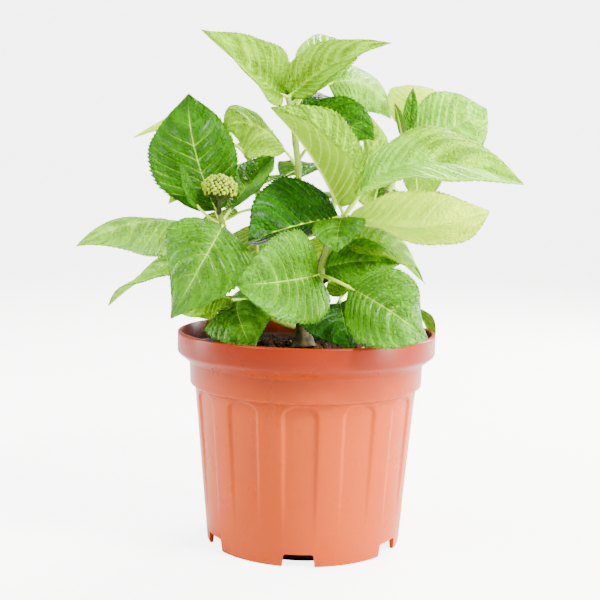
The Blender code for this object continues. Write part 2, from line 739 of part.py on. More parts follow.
def combine(base, pieces, operation, solver="EXACT"):
    """Join pieces to a base object, or cut them from it, with one Boolean on a collection."""
    group = bpy.data.collections.new(base.name + "_pieces")
    bpy.context.scene.collection.children.link(group)
    for index, solid in enumerate(pieces):
        piece = make_object(f"{base.name}_piece_{index}", solid, base.data.materials[0], group)
        piece.hide_render = True
        piece.display_type = "WIRE"
    boolean = base.modifiers.new("Combine", "BOOLEAN")
    boolean.operation = operation
    boolean.operand_type = "COLLECTION"
    boolean.collection = group
    boolean.solver = solver
    graph = bpy.context.evaluated_depsgraph_get()
    result = bpy.data.meshes.new_from_object(base.evaluated_get(graph))
    base.modifiers.clear()
    old = base.data
    base.data = result
    bpy.data.meshes.remove(old)
    for piece in list(group.objects):
        mesh = piece.data
        bpy.data.objects.remove(piece)
        bpy.data.meshes.remove(mesh)
    bpy.data.collections.remove(group)
    keep_main_shell(result)
    result.shade_smooth()
    result.set_sharp_from_angle(angle=math.radians(35.0))
    result.name = base.name


def clear_scene():
    """Remove whatever the scene holds."""
    for old in list(bpy.data.objects):
        bpy.data.objects.remove(old)


def build():
    """Make the pot, the mix, the stem, the boughs and one mass of foliage for each shoot."""
    clear_scene()
    rng = random.Random(SEED)
    plastic = make_material("terracotta_plastic", (0.60, 0.19, 0.08), 0.42)
    peat = make_material("peat_mix", (0.045, 0.028, 0.018), 0.95)
    bark = make_material("green_brown_bark", (0.20, 0.17, 0.07), 0.70)
    garden = Garden()

    pot = make_object("pot", pot_solid(), plastic)
    notches = [notch_cutter(PATTERN_TURN + 360.0 * k / NOTCHES) for k in range(NOTCHES)]
    combine(pot, notches, "DIFFERENCE")
    make_object("potting_mix", mix_solid(), peat)
    make_object("main_stem", main_stem(), bark)
    garden.add(pot_solid(), "pot")
    garden.add(mix_solid(), "mix")
    garden.add(main_stem(), "stem")

    for shoot in SHOOTS:
        garden.add(shoot_stem(shoot), shoot.name)
        if shoot.bough:
            bough = shoot.bough
            solid = tube(bough_controls(shoot), bough.radius_foot, bough.radius_tip, BOUGH_SIDES, 8)
            make_object("bough_" + shoot.name, solid, bark)
            garden.add(solid, "bough")
    head = flower_head(garden, SHOOTS[0])
    masses = {shoot.name: grow_leaves(garden, shoot) for shoot in SHOOTS}
    for shoot in SHOOTS:
        masses[shoot.name] += fill_leaves(garden, shoot, rng)
    masses[SHOOTS[0].name] += head
    for index, shoot in enumerate(SHOOTS):
        shade = 0.8 + 0.07 * index
        colour = (0.10 * shade, 0.32 * shade, 0.04 * shade)
        leaf_green = make_material("leaf_green_" + shoot.name, colour, 0.45)
        mass = make_object("foliage_" + shoot.name, shoot_stem(shoot), leaf_green)
        combine(mass, masses[shoot.name], "UNION")


build()
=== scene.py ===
# %% [markdown]
# # A young hydrangea in a moulded nursery pot
#
# The plant is dressed in the order in which a nursery would build it: the rule by which it grows, then
# its leaves, its stems, its flower head, the pot, the potting mix, and last the floor, the lights and the
# camera. Lengths in the growing rule are millimetres and become metres when a mesh is made.

# %% Start
import math
import random
from collections import namedtuple

import bpy
import numpy as np
from mathutils import Matrix, Vector
from mathutils.bvhtree import BVHTree


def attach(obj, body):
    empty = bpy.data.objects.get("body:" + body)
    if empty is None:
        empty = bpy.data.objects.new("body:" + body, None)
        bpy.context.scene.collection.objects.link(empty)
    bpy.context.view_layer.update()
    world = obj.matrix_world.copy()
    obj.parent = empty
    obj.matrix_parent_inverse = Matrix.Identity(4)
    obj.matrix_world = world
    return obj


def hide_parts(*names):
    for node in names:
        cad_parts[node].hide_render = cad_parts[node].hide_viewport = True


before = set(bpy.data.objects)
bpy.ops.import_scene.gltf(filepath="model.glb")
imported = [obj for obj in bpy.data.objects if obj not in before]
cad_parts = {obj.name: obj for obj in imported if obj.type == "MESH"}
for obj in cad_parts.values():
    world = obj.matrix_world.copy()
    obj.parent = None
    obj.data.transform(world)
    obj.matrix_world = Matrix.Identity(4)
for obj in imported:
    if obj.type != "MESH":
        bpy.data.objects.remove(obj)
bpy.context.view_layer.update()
MM = 0.001

# %% [markdown]
# ## How finishes are written down
#
# A colour is easiest to judge as the hex value of a paint chip, but the renderer computes with linear
# light, so one function turns one into the other.  Each finish is one Principled shader.  Constant values
# sit on the shader's own sockets, and only what really changes over a surface is computed with nodes.

# %% Colour and node helpers
def linear(code, tone=1.0):
    """Linear colour of an sRGB hex code, made lighter or darker by a factor."""
    parts = [int(code[i:i + 2], 16) / 255.0 for i in (1, 3, 5)]
    parts = [p / 12.92 if p <= 0.04045 else ((p + 0.055) / 1.055) ** 2.4 for p in parts]
    return tuple(min(1.0, tone * p) for p in parts) + (1.0,)


def feed(made, name, value):
    """Fill an input of a node or link it to a socket; a whole node stands for its first output.
    An input goes by its name, or by its place where several share a name."""
    if isinstance(value, bpy.types.Node):
        value = value.outputs[0]
    if isinstance(value, bpy.types.NodeSocket):
        made.id_data.links.new(value, made.inputs[name])
    else:
        made.inputs[name].default_value = value


def add(tree, kind, inputs=None, **settings):
    """Add a node to a tree, set it up and feed its inputs."""
    made = tree.nodes.new(kind)
    for name, value in settings.items():
        setattr(made, name, value)
    for name, value in (inputs or {}).items():
        feed(made, name, value)
    return made


def calc(tree, operation, *values):
    """Add a node that computes with numbers."""
    return add(tree, "ShaderNodeMath", dict(enumerate(values)), operation=operation)


def vector_calc(tree, operation, *values):
    """Add a node that computes with vectors."""
    return add(tree, "ShaderNodeVectorMath", dict(enumerate(values)), operation=operation)


def noise(tree, spot, scale, detail):
    """Noise at a position; scale is in bumps per metre."""
    return add(tree, "ShaderNodeTexNoise", {"Vector": spot, "Scale": scale, "Detail": detail})


def place(tree):
    """Position on the object, in metres; every object stands at the origin."""
    return add(tree, "ShaderNodeTexCoord").outputs["Object"]


def finish(name, code, roughness, ior=1.45, **values):
    """A Principled finish: the material and its shader node."""
    material = bpy.data.materials.new(name)
    material.use_nodes = True
    shader = material.node_tree.nodes["Principled BSDF"]
    for socket, value in {"Base Color": linear(code), "Roughness": roughness, "IOR": ior, **values}.items():
        feed(shader, socket.replace("_", " "), value)
    return material, shader


def relief(shader, height, depth):
    """Bump the surface by a height; depth is the relief in metres."""
    bump = add(shader.id_data, "ShaderNodeBump", {"Height": height, "Strength": 1.0, "Distance": depth})
    feed(shader, "Normal", bump)


def two_tone(shader, share, codes, stops):
    """Let the colour run between two hex codes where a share passes from one stop to the other."""
    ramp = add(shader.id_data, "ShaderNodeValToRGB", {"Fac": share})
    for element, code, stop in zip(ramp.color_ramp.elements, codes, stops):
        element.position, element.color = stop, linear(code)
    feed(shader, "Base Color", ramp)


def speckled(name, code, roughness, scale, detail, codes, stops, depth):
    """Matter whose colour and relief both follow one noise."""
    material, shader = finish(name, code, roughness)
    speck = noise(material.node_tree, place(material.node_tree), scale, detail)
    two_tone(shader, speck, codes, stops)
    relief(shader, speck, depth)
    return material


print("helpers ready")

# %% [markdown]
# ## The plan of the plant
#
# A hydrangea sets its leaves in opposite pairs on soft green shoots.  Each shoot here is a curve from the
# tip of its bough, and each leaf is written as the direction and length of its midrib and the way its
# blade is bowed, rolled and folded.  The leaves that fill the back of the plant are not written down:
# a seeded rule draws them and gives up any that would meet what has already grown.

# %% Sizes of the plant
GAP = 0.3
SEED = 566
STEM_FOOT = Vector((-1.5, 3.0, 128.3))
STEM_FORK = Vector((-4.0, 8.0, 170.0))
STEM_FOOT_RADIUS = 5.4
STEM_FORK_RADIUS = 4.2
STEM_FLARE = 3.4
FLARE_RISE = 4.5
SHOOT_RADIUS = 2.6
SHOOT_TIP_RADIUS = 1.9
LEAF_THICK = 1.2
LEAF_COLUMNS = (-1.0, 0.0, 1.0)
LEAF_ROWS = (0.0, 0.09, 0.23, 0.40, 0.58, 0.75, 0.89, 1.0)
STALK_RADIUS = 1.5
CLEAR = 0.6
STALK_CLEAR = 0.4
NODE_REACH = 6.0
TRIES = 60
HEAD_RADIUS = 10.4
HEAD_HEIGHT = 7.6
HEAD_OFFSET = Vector((0.6, -3.4, 13.4))

# A bough springs from the stem at a height, in a compass direction (turn) and at a slope (rise), and a shoot
# runs from its foot past a knee to its tip.  A leaf springs at a node, a share of the shoot's length; turn,
# rise and reach give the straight line to its tip.  Arch and sway bow it, roll and twist turn it, fold and
# curl lift its halves and margins, and bend says how far along it the bow lies.  Angles are in degrees.
Bough = namedtuple("Bough", "height turn rise radius_foot radius_tip")
Shoot = namedtuple("Shoot", "name bough foot knee tip leaves fill")
Leaf = namedtuple("Leaf", "node turn rise reach width stalk arch sway roll twist fold curl bend")
Leaf.__new__.__defaults__ = (14.0, 0.10, 0.0, 0.0, 0.0, 12.0, -10.0, 0.45)
Fill = namedtuple("Fill", "node turn rise reach")

SHOOTS = (
    Shoot("left_front", Bough(150, 205, 40, 3.4, 2.8), (-45, -22, 186), (-53, -27, 200), (-56.5, -30, 219), (
        Leaf(0.72, 233.8, -49.5, 72.4, 60.6, 3, 0.31, -0.06, -37, 40, -7, -9, 0.38),
        Leaf(0.5, 160.8, -5, 109.4, 51.3, 21.1, 0.06, 0.11, -56, -84, -40, -22, 0.47),
        Leaf(0.05, 162, -21, 98, 44, 22, 0.12, 0, -20, 44),
        Leaf(0.7, 126.1, 62.2, 96.4, 64.3, 9.7, 0.05, -0.07, -17, -58, -6, -15, 0.55),
        Leaf(0.77, 62.1, 33.9, 80.6, 40.9, 14.2, -0.04, -0.07, 0, -5, 27, -9, 0.59),
        Leaf(0.72, 222, 49.1, 50.5, 14.6, 22, -0.12, -0.04, -64, 2, 13, -10, 0.42),
    ), ()),
    Shoot("centre", Bough(156, 300, 50, 3.4, 2.8), (7, -16, 167), (9, -25, 196), (22.6, -17, 216), (
        Leaf(0.2, 229, -1.7, 77.1, 63.8, 3, 0.11, -0.03, -75, -5, 23, -1, 0.75),
        Leaf(0.2, 316.1, -20, 93.4, 53.4, 26, 0.25, 0.03, 53, -32, 2, -22, 0.85),
        Leaf(0.52, 24, -17, 74, 52, 10, 0.22, 0, 30),
        Leaf(0.98, 213.3, -12.2, 71.6, 69.3, 3, -0.06, 0, -111, -13, -42, -11, 0.49),
        Leaf(0.98, 369.3, 3.3, 97.6, 57, 3, -0.02, 0.11, 43, 57, 25, -8, 0.48),
        Leaf(1, -9.7, 11, 114.2, 65.3, 17, 0.25, 0, 34, 22, 19, -11, 0.39),
        Leaf(1, 198.9, 52.8, 83.3, 63.6, 5.1, 0.06, 0.01, -40, -15, 55, 2, 0.56),
        Leaf(1, 77, 62, 82, 34, 38, 0.02, 0.18, 64, 0, 42),
    ), ()),
    Shoot("top", Bough(170.3, 90, 90, 4.2, 2.8), (-7, 17, 232), (-8, 19, 262), (-15.4, 22, 293), (
        Leaf(0.24, 192.9, 26.4, 56.1, 56.4, 8.4, 0.14, 0.16, -44, -43, -16, -9, 0.77),
        Leaf(0.52, 334.7, 1.5, 56.6, 44.6, 4.6, 0.08, -0.18, 55, -34, 12, -11, 0.49),
        Leaf(1, 206.6, 32.5, 74, 51.5, 7.7, 0, -0.03, -58, 36, 30, -1, 0.25),
        Leaf(1, 352, 27.7, 77.3, 44.6, 3, 0.05, -0.05, 42, -43, 22, -11, 0.42),
        Leaf(0.8, 57.3, 35, 93, 42.6, 13.1, 0.27, 0.06, 20, 6, 11, -9, 0.49),
        Leaf(0.92, 29.1, -3.8, 81.3, 46.4, 21.8, 0.15, -0.23, 69, 25, -20, -21, 0.64),
    ), (Fill(0.3, 40, -5, 74), Fill(0.75, 60, 0, 70))),
    Shoot("right_rear", Bough(160, 20, 40, 3.2, 2.6), (54, 33, 232), (61, 35, 248), (67, 37, 268), (
        Leaf(0.9, 360.2, 24.7, 59.8, 55.2, 4.1, 0.04, 0.04, 76, 8, 9, -8, 0.61),
        Leaf(1, 0.1, 85.9, 34.9, 10.1, 5, 0.04, 0, 79, 0, 11, -9, 0.46),
        Leaf(0.82, 215, 72, 32, 10, 8, 0.04, 0, 0, 0, 10),
        Leaf(0.9, 75.4, 35.3, 75.4, 36.5, 9.6, 0.22, -0.03, 10, -7, 0, -10, 0.46),
    ), (Fill(0.5, 40, -10, 70), Fill(0.66, 130, 10, 66), Fill(0.2, 135, -15, 70), Fill(0.15, 60, -30, 78))),
    Shoot("left_rear", Bough(162, 140, 46, 3.2, 2.6), (-30, 38, 206), (-36, 46, 232), (-44, 52, 258), (
        Leaf(0.9, 181, 9, 82, 44, 14, 0.2, 0, -20),
        Leaf(0.52, 279.2, 2.5, 31.6, 33.9, 4.4, 0.18, -0.01, 0, 1, 5, 1),
    ), (Fill(0.95, 118, 12, 76), Fill(0.45, 128, -5, 84), Fill(0.12, 118, -35, 78),
        Fill(0.25, 165, -20, 76))),
    Shoot("rear", Bough(154, 75, 44, 3.2, 2.6), (14, 50, 196), (18, 60, 222), (20, 66, 248), (
        Leaf(0.35, 354, -35, 82, 44, 14, 0.05),
        Leaf(0.9, 233, -4, 44, 36, 6, 0.16),
    ), (Fill(0.98, 75, 40, 66), Fill(0.85, 155, 5, 70), Fill(0.5, 20, 0, 80), Fill(0.5, 100, 0, 86),
        Fill(0.12, 60, -20, 84), Fill(0.12, 140, -25, 76), Fill(0.25, 95, -40, 80))),
    Shoot("low_left", None, (-8.6, 1, 142), (-26, -12, 148), (-38, -26, 161), (
        Leaf(0.96, 277, -29.3, 51.6, 50.5, 9.3, 0.29, 0.08, 21, -1, -10, -18, 0.44),
        Leaf(0.99, 191.6, -10.5, 43.2, 68.7, 12.6, 0.08, -0.01, -9, -17, 14, -23, 0.39),
    ), (Fill(0.9, 120, 0, 80), Fill(0.5, 125, -8, 80), Fill(0.2, 155, 2, 80))),
    Shoot("low_right", None, (4.4, 3, 141), (14, -4, 146), (22, -12, 160), (
        Leaf(0.98, 277, -26, 54, 56, 4, 0.12, 0, 20),
        Leaf(0.58, 26.2, -20.1, 85.6, 29.3, 15.6, 0.28, -0.03, 4, 3, 14, -10, 0.8),
    ), (Fill(0.8, 30, -6, 70), Fill(0.5, 115, -6, 76), Fill(0.25, 75, 4, 78))),
)

print(len(SHOOTS), "shoots,", sum(len(s.leaves) for s in SHOOTS), "set leaves")

# %% [markdown]
# ## Curves and simple solids
#
# Everything on the plant follows a Bezier curve: a limb, a leaf's midrib, a leaf stalk.  The same few
# functions make the plain solids with which the growing rule tests for room.

# %% Curves
UP = Vector((0.0, 0.0, 1.0))
LIMB_LEAD = Vector((0.31, 0.87, 0.11))
STALK_LEAD = Vector((0.3, 0.2, 0.9))
SLOPE_STEP = 0.01


def heading(turn, rise):
    """Unit vector for a compass direction and a slope, both in degrees."""
    turn = math.radians(turn)
    rise = math.radians(rise)
    return Vector((math.cos(rise) * math.cos(turn), math.cos(rise) * math.sin(turn), math.sin(rise)))


def bezier(points, t):
    """Point on the Bezier curve of the given control points."""
    points = [Vector(point) for point in points]
    while len(points) > 1:
        points = [a.lerp(b, t) for a, b in zip(points, points[1:])]
    return points[0]


def slope(points, t):
    """Unit tangent of the Bezier curve of the given control points."""
    before, after = max(0.0, t - SLOPE_STEP), min(1.0, t + SLOPE_STEP)
    return (bezier(points, after) - bezier(points, before)).normalized()


def polygon(radius, sides):
    """Corners x, y of a level polygon round the origin."""
    turns = [2.0 * math.pi * k / sides for k in range(sides)]
    return [(radius * math.cos(turn), radius * math.sin(turn)) for turn in turns]


def ring(centre, axis, radius, sides, lead):
    """Corners of a polygon round an axis, the first one on the side of lead."""
    across = (lead - axis * lead.dot(axis)).normalized()
    along = axis.cross(across)
    corners = []
    for k in range(sides):
        angle = 2.0 * math.pi * k / sides
        corners.append(centre + (across * math.cos(angle) + along * math.sin(angle)) * radius)
    return corners


def band(rings, sides, first=0):
    """Faces between neighbouring rings of points, the first ring starting at a given point."""
    faces = []
    for low in range(first, first + (rings - 1) * sides, sides):
        for k in range(sides):
            a, b = low + k, low + (k + 1) % sides
            faces.append((a, b, b + sides, a + sides))
    return faces


def skin(rings):
    """Close a row of equal rings into one solid with flat ends."""
    sides = len(rings[0])
    points = [point for one in rings for point in one]
    faces = band(len(rings), sides)
    last = (len(rings) - 1) * sides
    faces.append(tuple(reversed(range(sides))))
    faces.append(tuple(range(last, last + sides)))
    return points, faces


def tube(controls, radius_foot, radius_tip, sides, steps):
    """Tapering limb along a Bezier curve."""
    rings = []
    for k in range(steps + 1):
        t = k / steps
        radius = radius_foot + (radius_tip - radius_foot) * t
        rings.append(ring(bezier(controls, t), slope(controls, t), radius, sides, LIMB_LEAD))
    return skin(rings)


front = SHOOTS[0]
print("a plain shoot:", len(tube((front.foot, front.knee, front.tip), 1.0, 1.0, 6, 5)[1]), "faces")

# %% [markdown]
# ## The midrib and the outline of a leaf
#
# The midrib is a quadratic curve from the shoot to the tip.  Across it the blade is described by the
# upper face's normal and a direction to the right, which the leaf's twist turns on the way to the tip.

# %% Leaf rule
SKEW, FULLNESS, TIP_DRAW = 0.75, 0.6, 0.7


def half_width(share):
    """Outline of a leaf: half its width, as a share of the widest, along the blade."""
    if share <= 0.0 or share >= 1.0:
        return 0.0
    return math.sin(math.pi * share ** SKEW) ** FULLNESS * (1.0 - TIP_DRAW * share ** 8)


def leaf_axis(leaf, root):
    """Midrib of a leaf: control points and upper-face normal of its chord."""
    along = heading(leaf.turn, leaf.rise)
    side = along.cross(UP).normalized()
    upper = side.cross(along)
    roll = math.radians(leaf.roll)
    normal = upper * math.cos(roll) + side * math.sin(roll)
    across = along.cross(normal)
    bow = normal * 2.0 * leaf.arch + across * 2.0 * leaf.sway
    controls = (root, root + (along * leaf.bend + bow) * leaf.reach, root + along * leaf.reach)
    return controls, normal


def leaf_section(leaf, controls, normal, share):
    """Middle, side direction and upper normal of the blade at a share of its length."""
    start = leaf.stalk / leaf.reach
    t = start + (1.0 - start) * share
    along = slope(controls, t)
    upper = (normal - along * normal.dot(along)).normalized()
    across = along.cross(upper)
    twist = math.radians(leaf.twist) * (share - 0.5)
    turned = upper * math.cos(twist) + across * math.sin(twist)
    return bezier(controls, t), along.cross(turned), turned


print("a leaf is widest at", max(range(100), key=lambda k: half_width(k / 100)), "% of its blade")

# %% [markdown]
# ## The plain leaf that tests for room
#
# Before a leaf is drawn in full, a plain blade of three columns stands in for it.  It is swollen by the
# clearance and tested against everything that has already grown.

# %% Plain blade and stalk
STALK_INSIDE = 0.12
STALK_TAPER = 0.3
STALK_STEPS = 2


def blade_point(leaf, centre, across, upper, half, column):
    """Point of the plain blade at a column from -1 (left margin) to 1 (right margin)."""
    sign = 1.0 if column > 0.0 else -1.0
    inner = min(abs(column), 0.5) * half
    outer = max(0.0, abs(column) - 0.5) * half
    fold = math.radians(leaf.fold)
    rim = math.radians(leaf.fold + leaf.curl)
    out = inner * math.cos(fold) + outer * math.cos(rim)
    lift = inner * math.sin(fold) + outer * math.sin(rim)
    return centre + across * (sign * out) + upper * lift


def blade_sheet(leaf, root, margin):
    """Open sheet of a leaf blade: rows of points, single points at its base and tip."""
    controls, normal = leaf_axis(leaf, root)
    rows = []
    for share in LEAF_ROWS:
        centre, across, upper = leaf_section(leaf, controls, normal, share)
        half = 0.5 * leaf.width * half_width(share)
        if half == 0.0:
            rows.append([centre])
        else:
            rows.append([blade_point(leaf, centre, across, upper, half + margin, c) for c in LEAF_COLUMNS])
    return rows


def sheet_faces(rows):
    """Faces between neighbouring rows of a sheet, upper side out."""
    starts = [0]
    for row in rows:
        starts.append(starts[-1] + len(row))
    faces = []
    for k in range(len(rows) - 1):
        low, high = starts[k], starts[k + 1]
        for j in range(len(LEAF_COLUMNS) - 1):
            if len(rows[k]) == 1:
                faces.append((low, high + j + 1, high + j))
            elif len(rows[k + 1]) == 1:
                faces.append((low + j, low + j + 1, high))
            else:
                faces.append((low + j, low + j + 1, high + j + 1))
                faces.append((low + j, high + j + 1, high + j))
    return faces


def thicken(rows, thick):
    """Turn a sheet into a closed blade of even thickness."""
    points = [point for row in rows for point in row]
    faces = sheet_faces(rows)
    normals = [Vector((0.0, 0.0, 0.0)) for _ in points]
    edges = {}
    for a, b, c in faces:
        normal = (points[b] - points[a]).cross(points[c] - points[a])
        for index in (a, b, c):
            normals[index] += normal
        edges.update({(a, b): True, (b, c): True, (c, a): True})
    count = len(points)
    upper = [p + n.normalized() * (0.5 * thick) for p, n in zip(points, normals)]
    lower = [p - n.normalized() * (0.5 * thick) for p, n in zip(points, normals)]
    solid = list(faces)
    solid += [(c + count, b + count, a + count) for a, b, c in faces]
    solid += [(a, a + count, b + count, b) for a, b in edges if (b, a) not in edges]
    return upper + lower, solid


def blade(leaf, root, extra):
    """Closed plain blade of a leaf, swollen all round by extra."""
    return thicken(blade_sheet(leaf, root, extra), LEAF_THICK + 2.0 * extra)


def stalk(leaf, root, extra):
    """Stalk of a leaf, from inside the shoot to well inside the blade."""
    controls, _ = leaf_axis(leaf, root)
    end = leaf.stalk / leaf.reach + STALK_INSIDE
    rings = []
    for k in range(STALK_STEPS + 1):
        t = end * k / STALK_STEPS
        radius = STALK_RADIUS * (1.0 - STALK_TAPER * k / STALK_STEPS) + extra
        rings.append(ring(bezier(controls, t), slope(controls, t), radius, 4, STALK_LEAD))
    return skin(rings)


print("a plain blade:", len(blade(SHOOTS[0].leaves[0], STEM_FORK, 0.0)[1]), "faces")

# %% [markdown]
# ## The pot's section
#
# A nursery pot is injection moulded: a thin wall with a stiff rim, a collar below it, shallow flutes that
# stiffen the wall and notches in the foot that let water out.  It is turned from one section, and each
# column of the turned wall is pushed in where it lies on a flute.  The same functions make the plain pot
# that leaves are tested against and the fine one that is shown.

# %% Pot rule
POT_HEIGHT = 139.6
FOOT_RADIUS = 64.25
SHOULDER_RADIUS = 73.4
COLLAR_RADIUS = 76.6
RIM_RADIUS = 85.0
RIM_BAND = 14.6
COLLAR_BOTTOM = 105.0
COLLAR_INSIDE = 104.0
MOUTH = 120.0
WALL = 1.6
FLUTES = 12
FLUTE_PITCH = 360.0 / FLUTES
FLUTE_HALF_ANGLE = 8.4
FLUTE_EDGE = 1.1
FLUTE_DEPTH = 1.4
FLUTE_TOP = 103.6
FLUTE_FADE = 20.0
PATTERN_TURN = -92.2
NOTCHES = 6
NOTCH_HEIGHT = 8.2
NOTCH_WIDTH_TOP = 17.5
NOTCH_WIDTH_FOOT = 20.5
CHANNEL_OUTER = 61.8
CHANNEL_INNER = 52.0
CHANNEL_HEIGHT = 10.0
MIX_EDGE = 125.5
MIX_TOP = 128.0
MIX_FLAT = 30.0
MIX_SLOPE = 42.0
MIX_SHOULDER = 62.0
MIX_SIDES = 32


def outer_radius(height):
    """Radius of the pot's outer wall below the collar."""
    return FOOT_RADIUS + (SHOULDER_RADIUS - FOOT_RADIUS) * height / COLLAR_BOTTOM


def inner_radius(height):
    """Radius of the pot's inner wall, clear of the flutes and of the collar."""
    if height > COLLAR_INSIDE:
        return COLLAR_RADIUS - WALL - (0.6 if height < 110.0 else 0.0)
    return outer_radius(height) - WALL - FLUTE_DEPTH * height / COLLAR_BOTTOM


def flute_depth(height):
    """Depth of a flute: full near the collar, fading out towards the foot."""
    if height >= FLUTE_TOP or height <= FLUTE_FADE:
        return 0.0
    return FLUTE_DEPTH * math.sin(0.5 * math.pi * (height - FLUTE_FADE) / (FLUTE_TOP - FLUTE_FADE)) ** 0.8


def pot_columns(offsets):
    """Angles of the pot's columns and how far each lies down a flute, from offsets about its middle."""
    columns = []
    for k in range(FLUTES):
        middle = PATTERN_TURN + FLUTE_PITCH * k
        columns += [(math.radians(middle + offset), deep) for offset, deep in offsets]
    return columns


def pot_profile(flute_heights):
    """Stations round the pot's section from its middle below to its middle inside."""
    outside = [
        (CHANNEL_INNER, 0.0), (CHANNEL_INNER + 1.4, CHANNEL_HEIGHT), (CHANNEL_OUTER - 0.6, CHANNEL_HEIGHT),
        (CHANNEL_OUTER, 0.0), (FOOT_RADIUS, 0.0),
    ]
    fluted = [(outer_radius(z), z) for z in flute_heights]
    upper = [
        (outer_radius(FLUTE_TOP), FLUTE_TOP), (COLLAR_RADIUS - 0.8, COLLAR_BOTTOM - 0.4),
        (COLLAR_RADIUS - 0.1, COLLAR_BOTTOM + 0.8), (COLLAR_RADIUS + 0.4, 119.6),
        (RIM_RADIUS - 1.2, POT_HEIGHT - RIM_BAND), (RIM_RADIUS, POT_HEIGHT - RIM_BAND + 1.4),
        (RIM_RADIUS, POT_HEIGHT - 0.9), (RIM_RADIUS - 0.9, POT_HEIGHT), (RIM_RADIUS - 2.6, POT_HEIGHT),
        (RIM_RADIUS - 3.6, 126.6), (inner_radius(MOUTH), MOUTH), (inner_radius(106.4), 106.4),
        (inner_radius(103.4), 103.4), (inner_radius(CHANNEL_HEIGHT + WALL), CHANNEL_HEIGHT + WALL),
        (CHANNEL_INNER - 0.4, CHANNEL_HEIGHT + WALL), (CHANNEL_INNER - 2.0, WALL),
    ]
    return outside + fluted + upper


def pot_solid(columns, profile):
    """Closed pot: flutes are worked into the outer wall column by column."""
    points = []
    for radius, height in profile:
        for turn, deep in columns:
            cut = deep * flute_depth(height) if abs(radius - outer_radius(height)) < 0.01 else 0.0
            points.append(Vector(((radius - cut) * math.cos(turn), (radius - cut) * math.sin(turn), height)))
    sides = len(columns)
    faces = band(len(profile), sides)
    last = (len(profile) - 1) * sides
    points += [Vector((0.0, 0.0, 0.0)), Vector((0.0, 0.0, WALL))]
    for k in range(sides):
        after = (k + 1) % sides
        faces.append((len(points) - 2, after, k))
        faces.append((last + k, last + after, len(points) - 1))
    return points, faces


PLAIN_OFFSETS = ((-FLUTE_HALF_ANGLE - FLUTE_EDGE, 0.0), (-FLUTE_HALF_ANGLE, 1.0), (0.0, 1.0),
                 (FLUTE_HALF_ANGLE, 1.0), (FLUTE_HALF_ANGLE + FLUTE_EDGE, 0.0))
PLAIN_HEIGHTS = (FLUTE_FADE, 38.0, 60.0, 84.0, FLUTE_TOP - 0.8)


def mix_solid():
    """Plain potting mix, level round the stem and a little lower at the wall."""
    mouth, below_collar = inner_radius(MOUTH), inner_radius(COLLAR_INSIDE)
    ledge = CHANNEL_HEIGHT + WALL
    wall = [
        (CHANNEL_INNER - 2.0 - GAP * 2.0, WALL + GAP), (CHANNEL_INNER - 0.8 - GAP, ledge + GAP),
        (inner_radius(ledge) - 2.0 * GAP, ledge + GAP), (below_collar - GAP * 1.5, COLLAR_INSIDE),
        (below_collar - GAP * 1.5, COLLAR_INSIDE + 3.0), (mouth - GAP * 1.5, MOUTH),
        (mouth - GAP * 1.5, MIX_EDGE - 1.5), (mouth - 2.5, MIX_EDGE), (MIX_SHOULDER, MIX_EDGE + 0.6),
        (MIX_SLOPE, MIX_TOP - 0.6), (MIX_FLAT, MIX_TOP),
    ]
    return skin([[Vector((x, y, z)) for x, y in polygon(radius, MIX_SIDES)] for radius, z in wall])


print("plain pot:", len(pot_profile(PLAIN_HEIGHTS)), "stations,", len(pot_columns(PLAIN_OFFSETS)), "columns")

# %% [markdown]
# ## Limbs
#
# The stem leans and tapers from its root flare to the fork.  A bough starts a hair's breadth from the
# stem's bark, at its own height, direction and slope, and ends where its shoot begins.

# %% Limb rule
def stem_axis(height):
    """Middle and radius of the main stem at a height, root flare included."""
    share = (height - STEM_FOOT.z) / (STEM_FORK.z - STEM_FOOT.z)
    flare = STEM_FLARE * math.exp(-(height - STEM_FOOT.z) / FLARE_RISE)
    radius = STEM_FOOT_RADIUS + (STEM_FORK_RADIUS - STEM_FOOT_RADIUS) * share + flare
    return STEM_FOOT.lerp(STEM_FORK, share), radius


def main_stem():
    """Leaning, tapering stem with level cuts at the mix and at the fork."""
    heights = [STEM_FOOT.z + rise for rise in (0.0, 2.5, 6.0, 12.0, 24.0)] + [STEM_FORK.z]
    rings = []
    for height in heights:
        middle, radius = stem_axis(height)
        rings.append(ring(middle, UP, radius, 12, Vector((1.0, 0.0, 0.0))))
    return skin(rings)


def shoot_controls(shoot):
    """Control points of a shoot's stem."""
    return (Vector(shoot.foot), Vector(shoot.knee), Vector(shoot.tip))


def bough_root(bough):
    """Middle of a bough's flat foot, whose upper edge lies a gap away from the stem's bark."""
    start = heading(bough.turn, bough.rise)
    level = heading(bough.turn, 0.0)
    tilt = math.radians(bough.rise)
    middle, radius = stem_axis(bough.height)
    away = radius
    for _ in range(3):
        edge = bough.height + away * math.sin(tilt) + bough.radius_foot * math.cos(tilt)
        beside, radius = stem_axis(min(edge, STEM_FORK.z))
        reach = radius + GAP + bough.radius_foot * math.sin(tilt) + (beside - middle).dot(level)
        away = reach / math.cos(tilt)
    return middle + start * away


def bough_controls(shoot):
    """Control points of the bough that carries a shoot, from the stem's bark to the shoot's foot."""
    bough = shoot.bough
    start = heading(bough.turn, bough.rise)
    foot = shoot_controls(shoot)
    if bough.rise > 89.0:
        root = Vector((STEM_FORK.x, STEM_FORK.y, STEM_FORK.z + GAP))
    else:
        root = bough_root(bough)
    reach = (foot[0] - root).length
    arrive = (foot[1] - foot[0]).normalized()
    return (root, root + start * (0.4 * reach), foot[0] - arrive * (0.35 * reach), foot[0])


def shoot_stem(shoot):
    """Stem of a shoot, from just beyond its bough's tip to its own tip."""
    controls = list(shoot_controls(shoot))
    controls[0] = controls[0] + (controls[1] - controls[0]).normalized() * GAP
    return tube(controls, SHOOT_RADIUS, SHOOT_TIP_RADIUS, 6, 5)


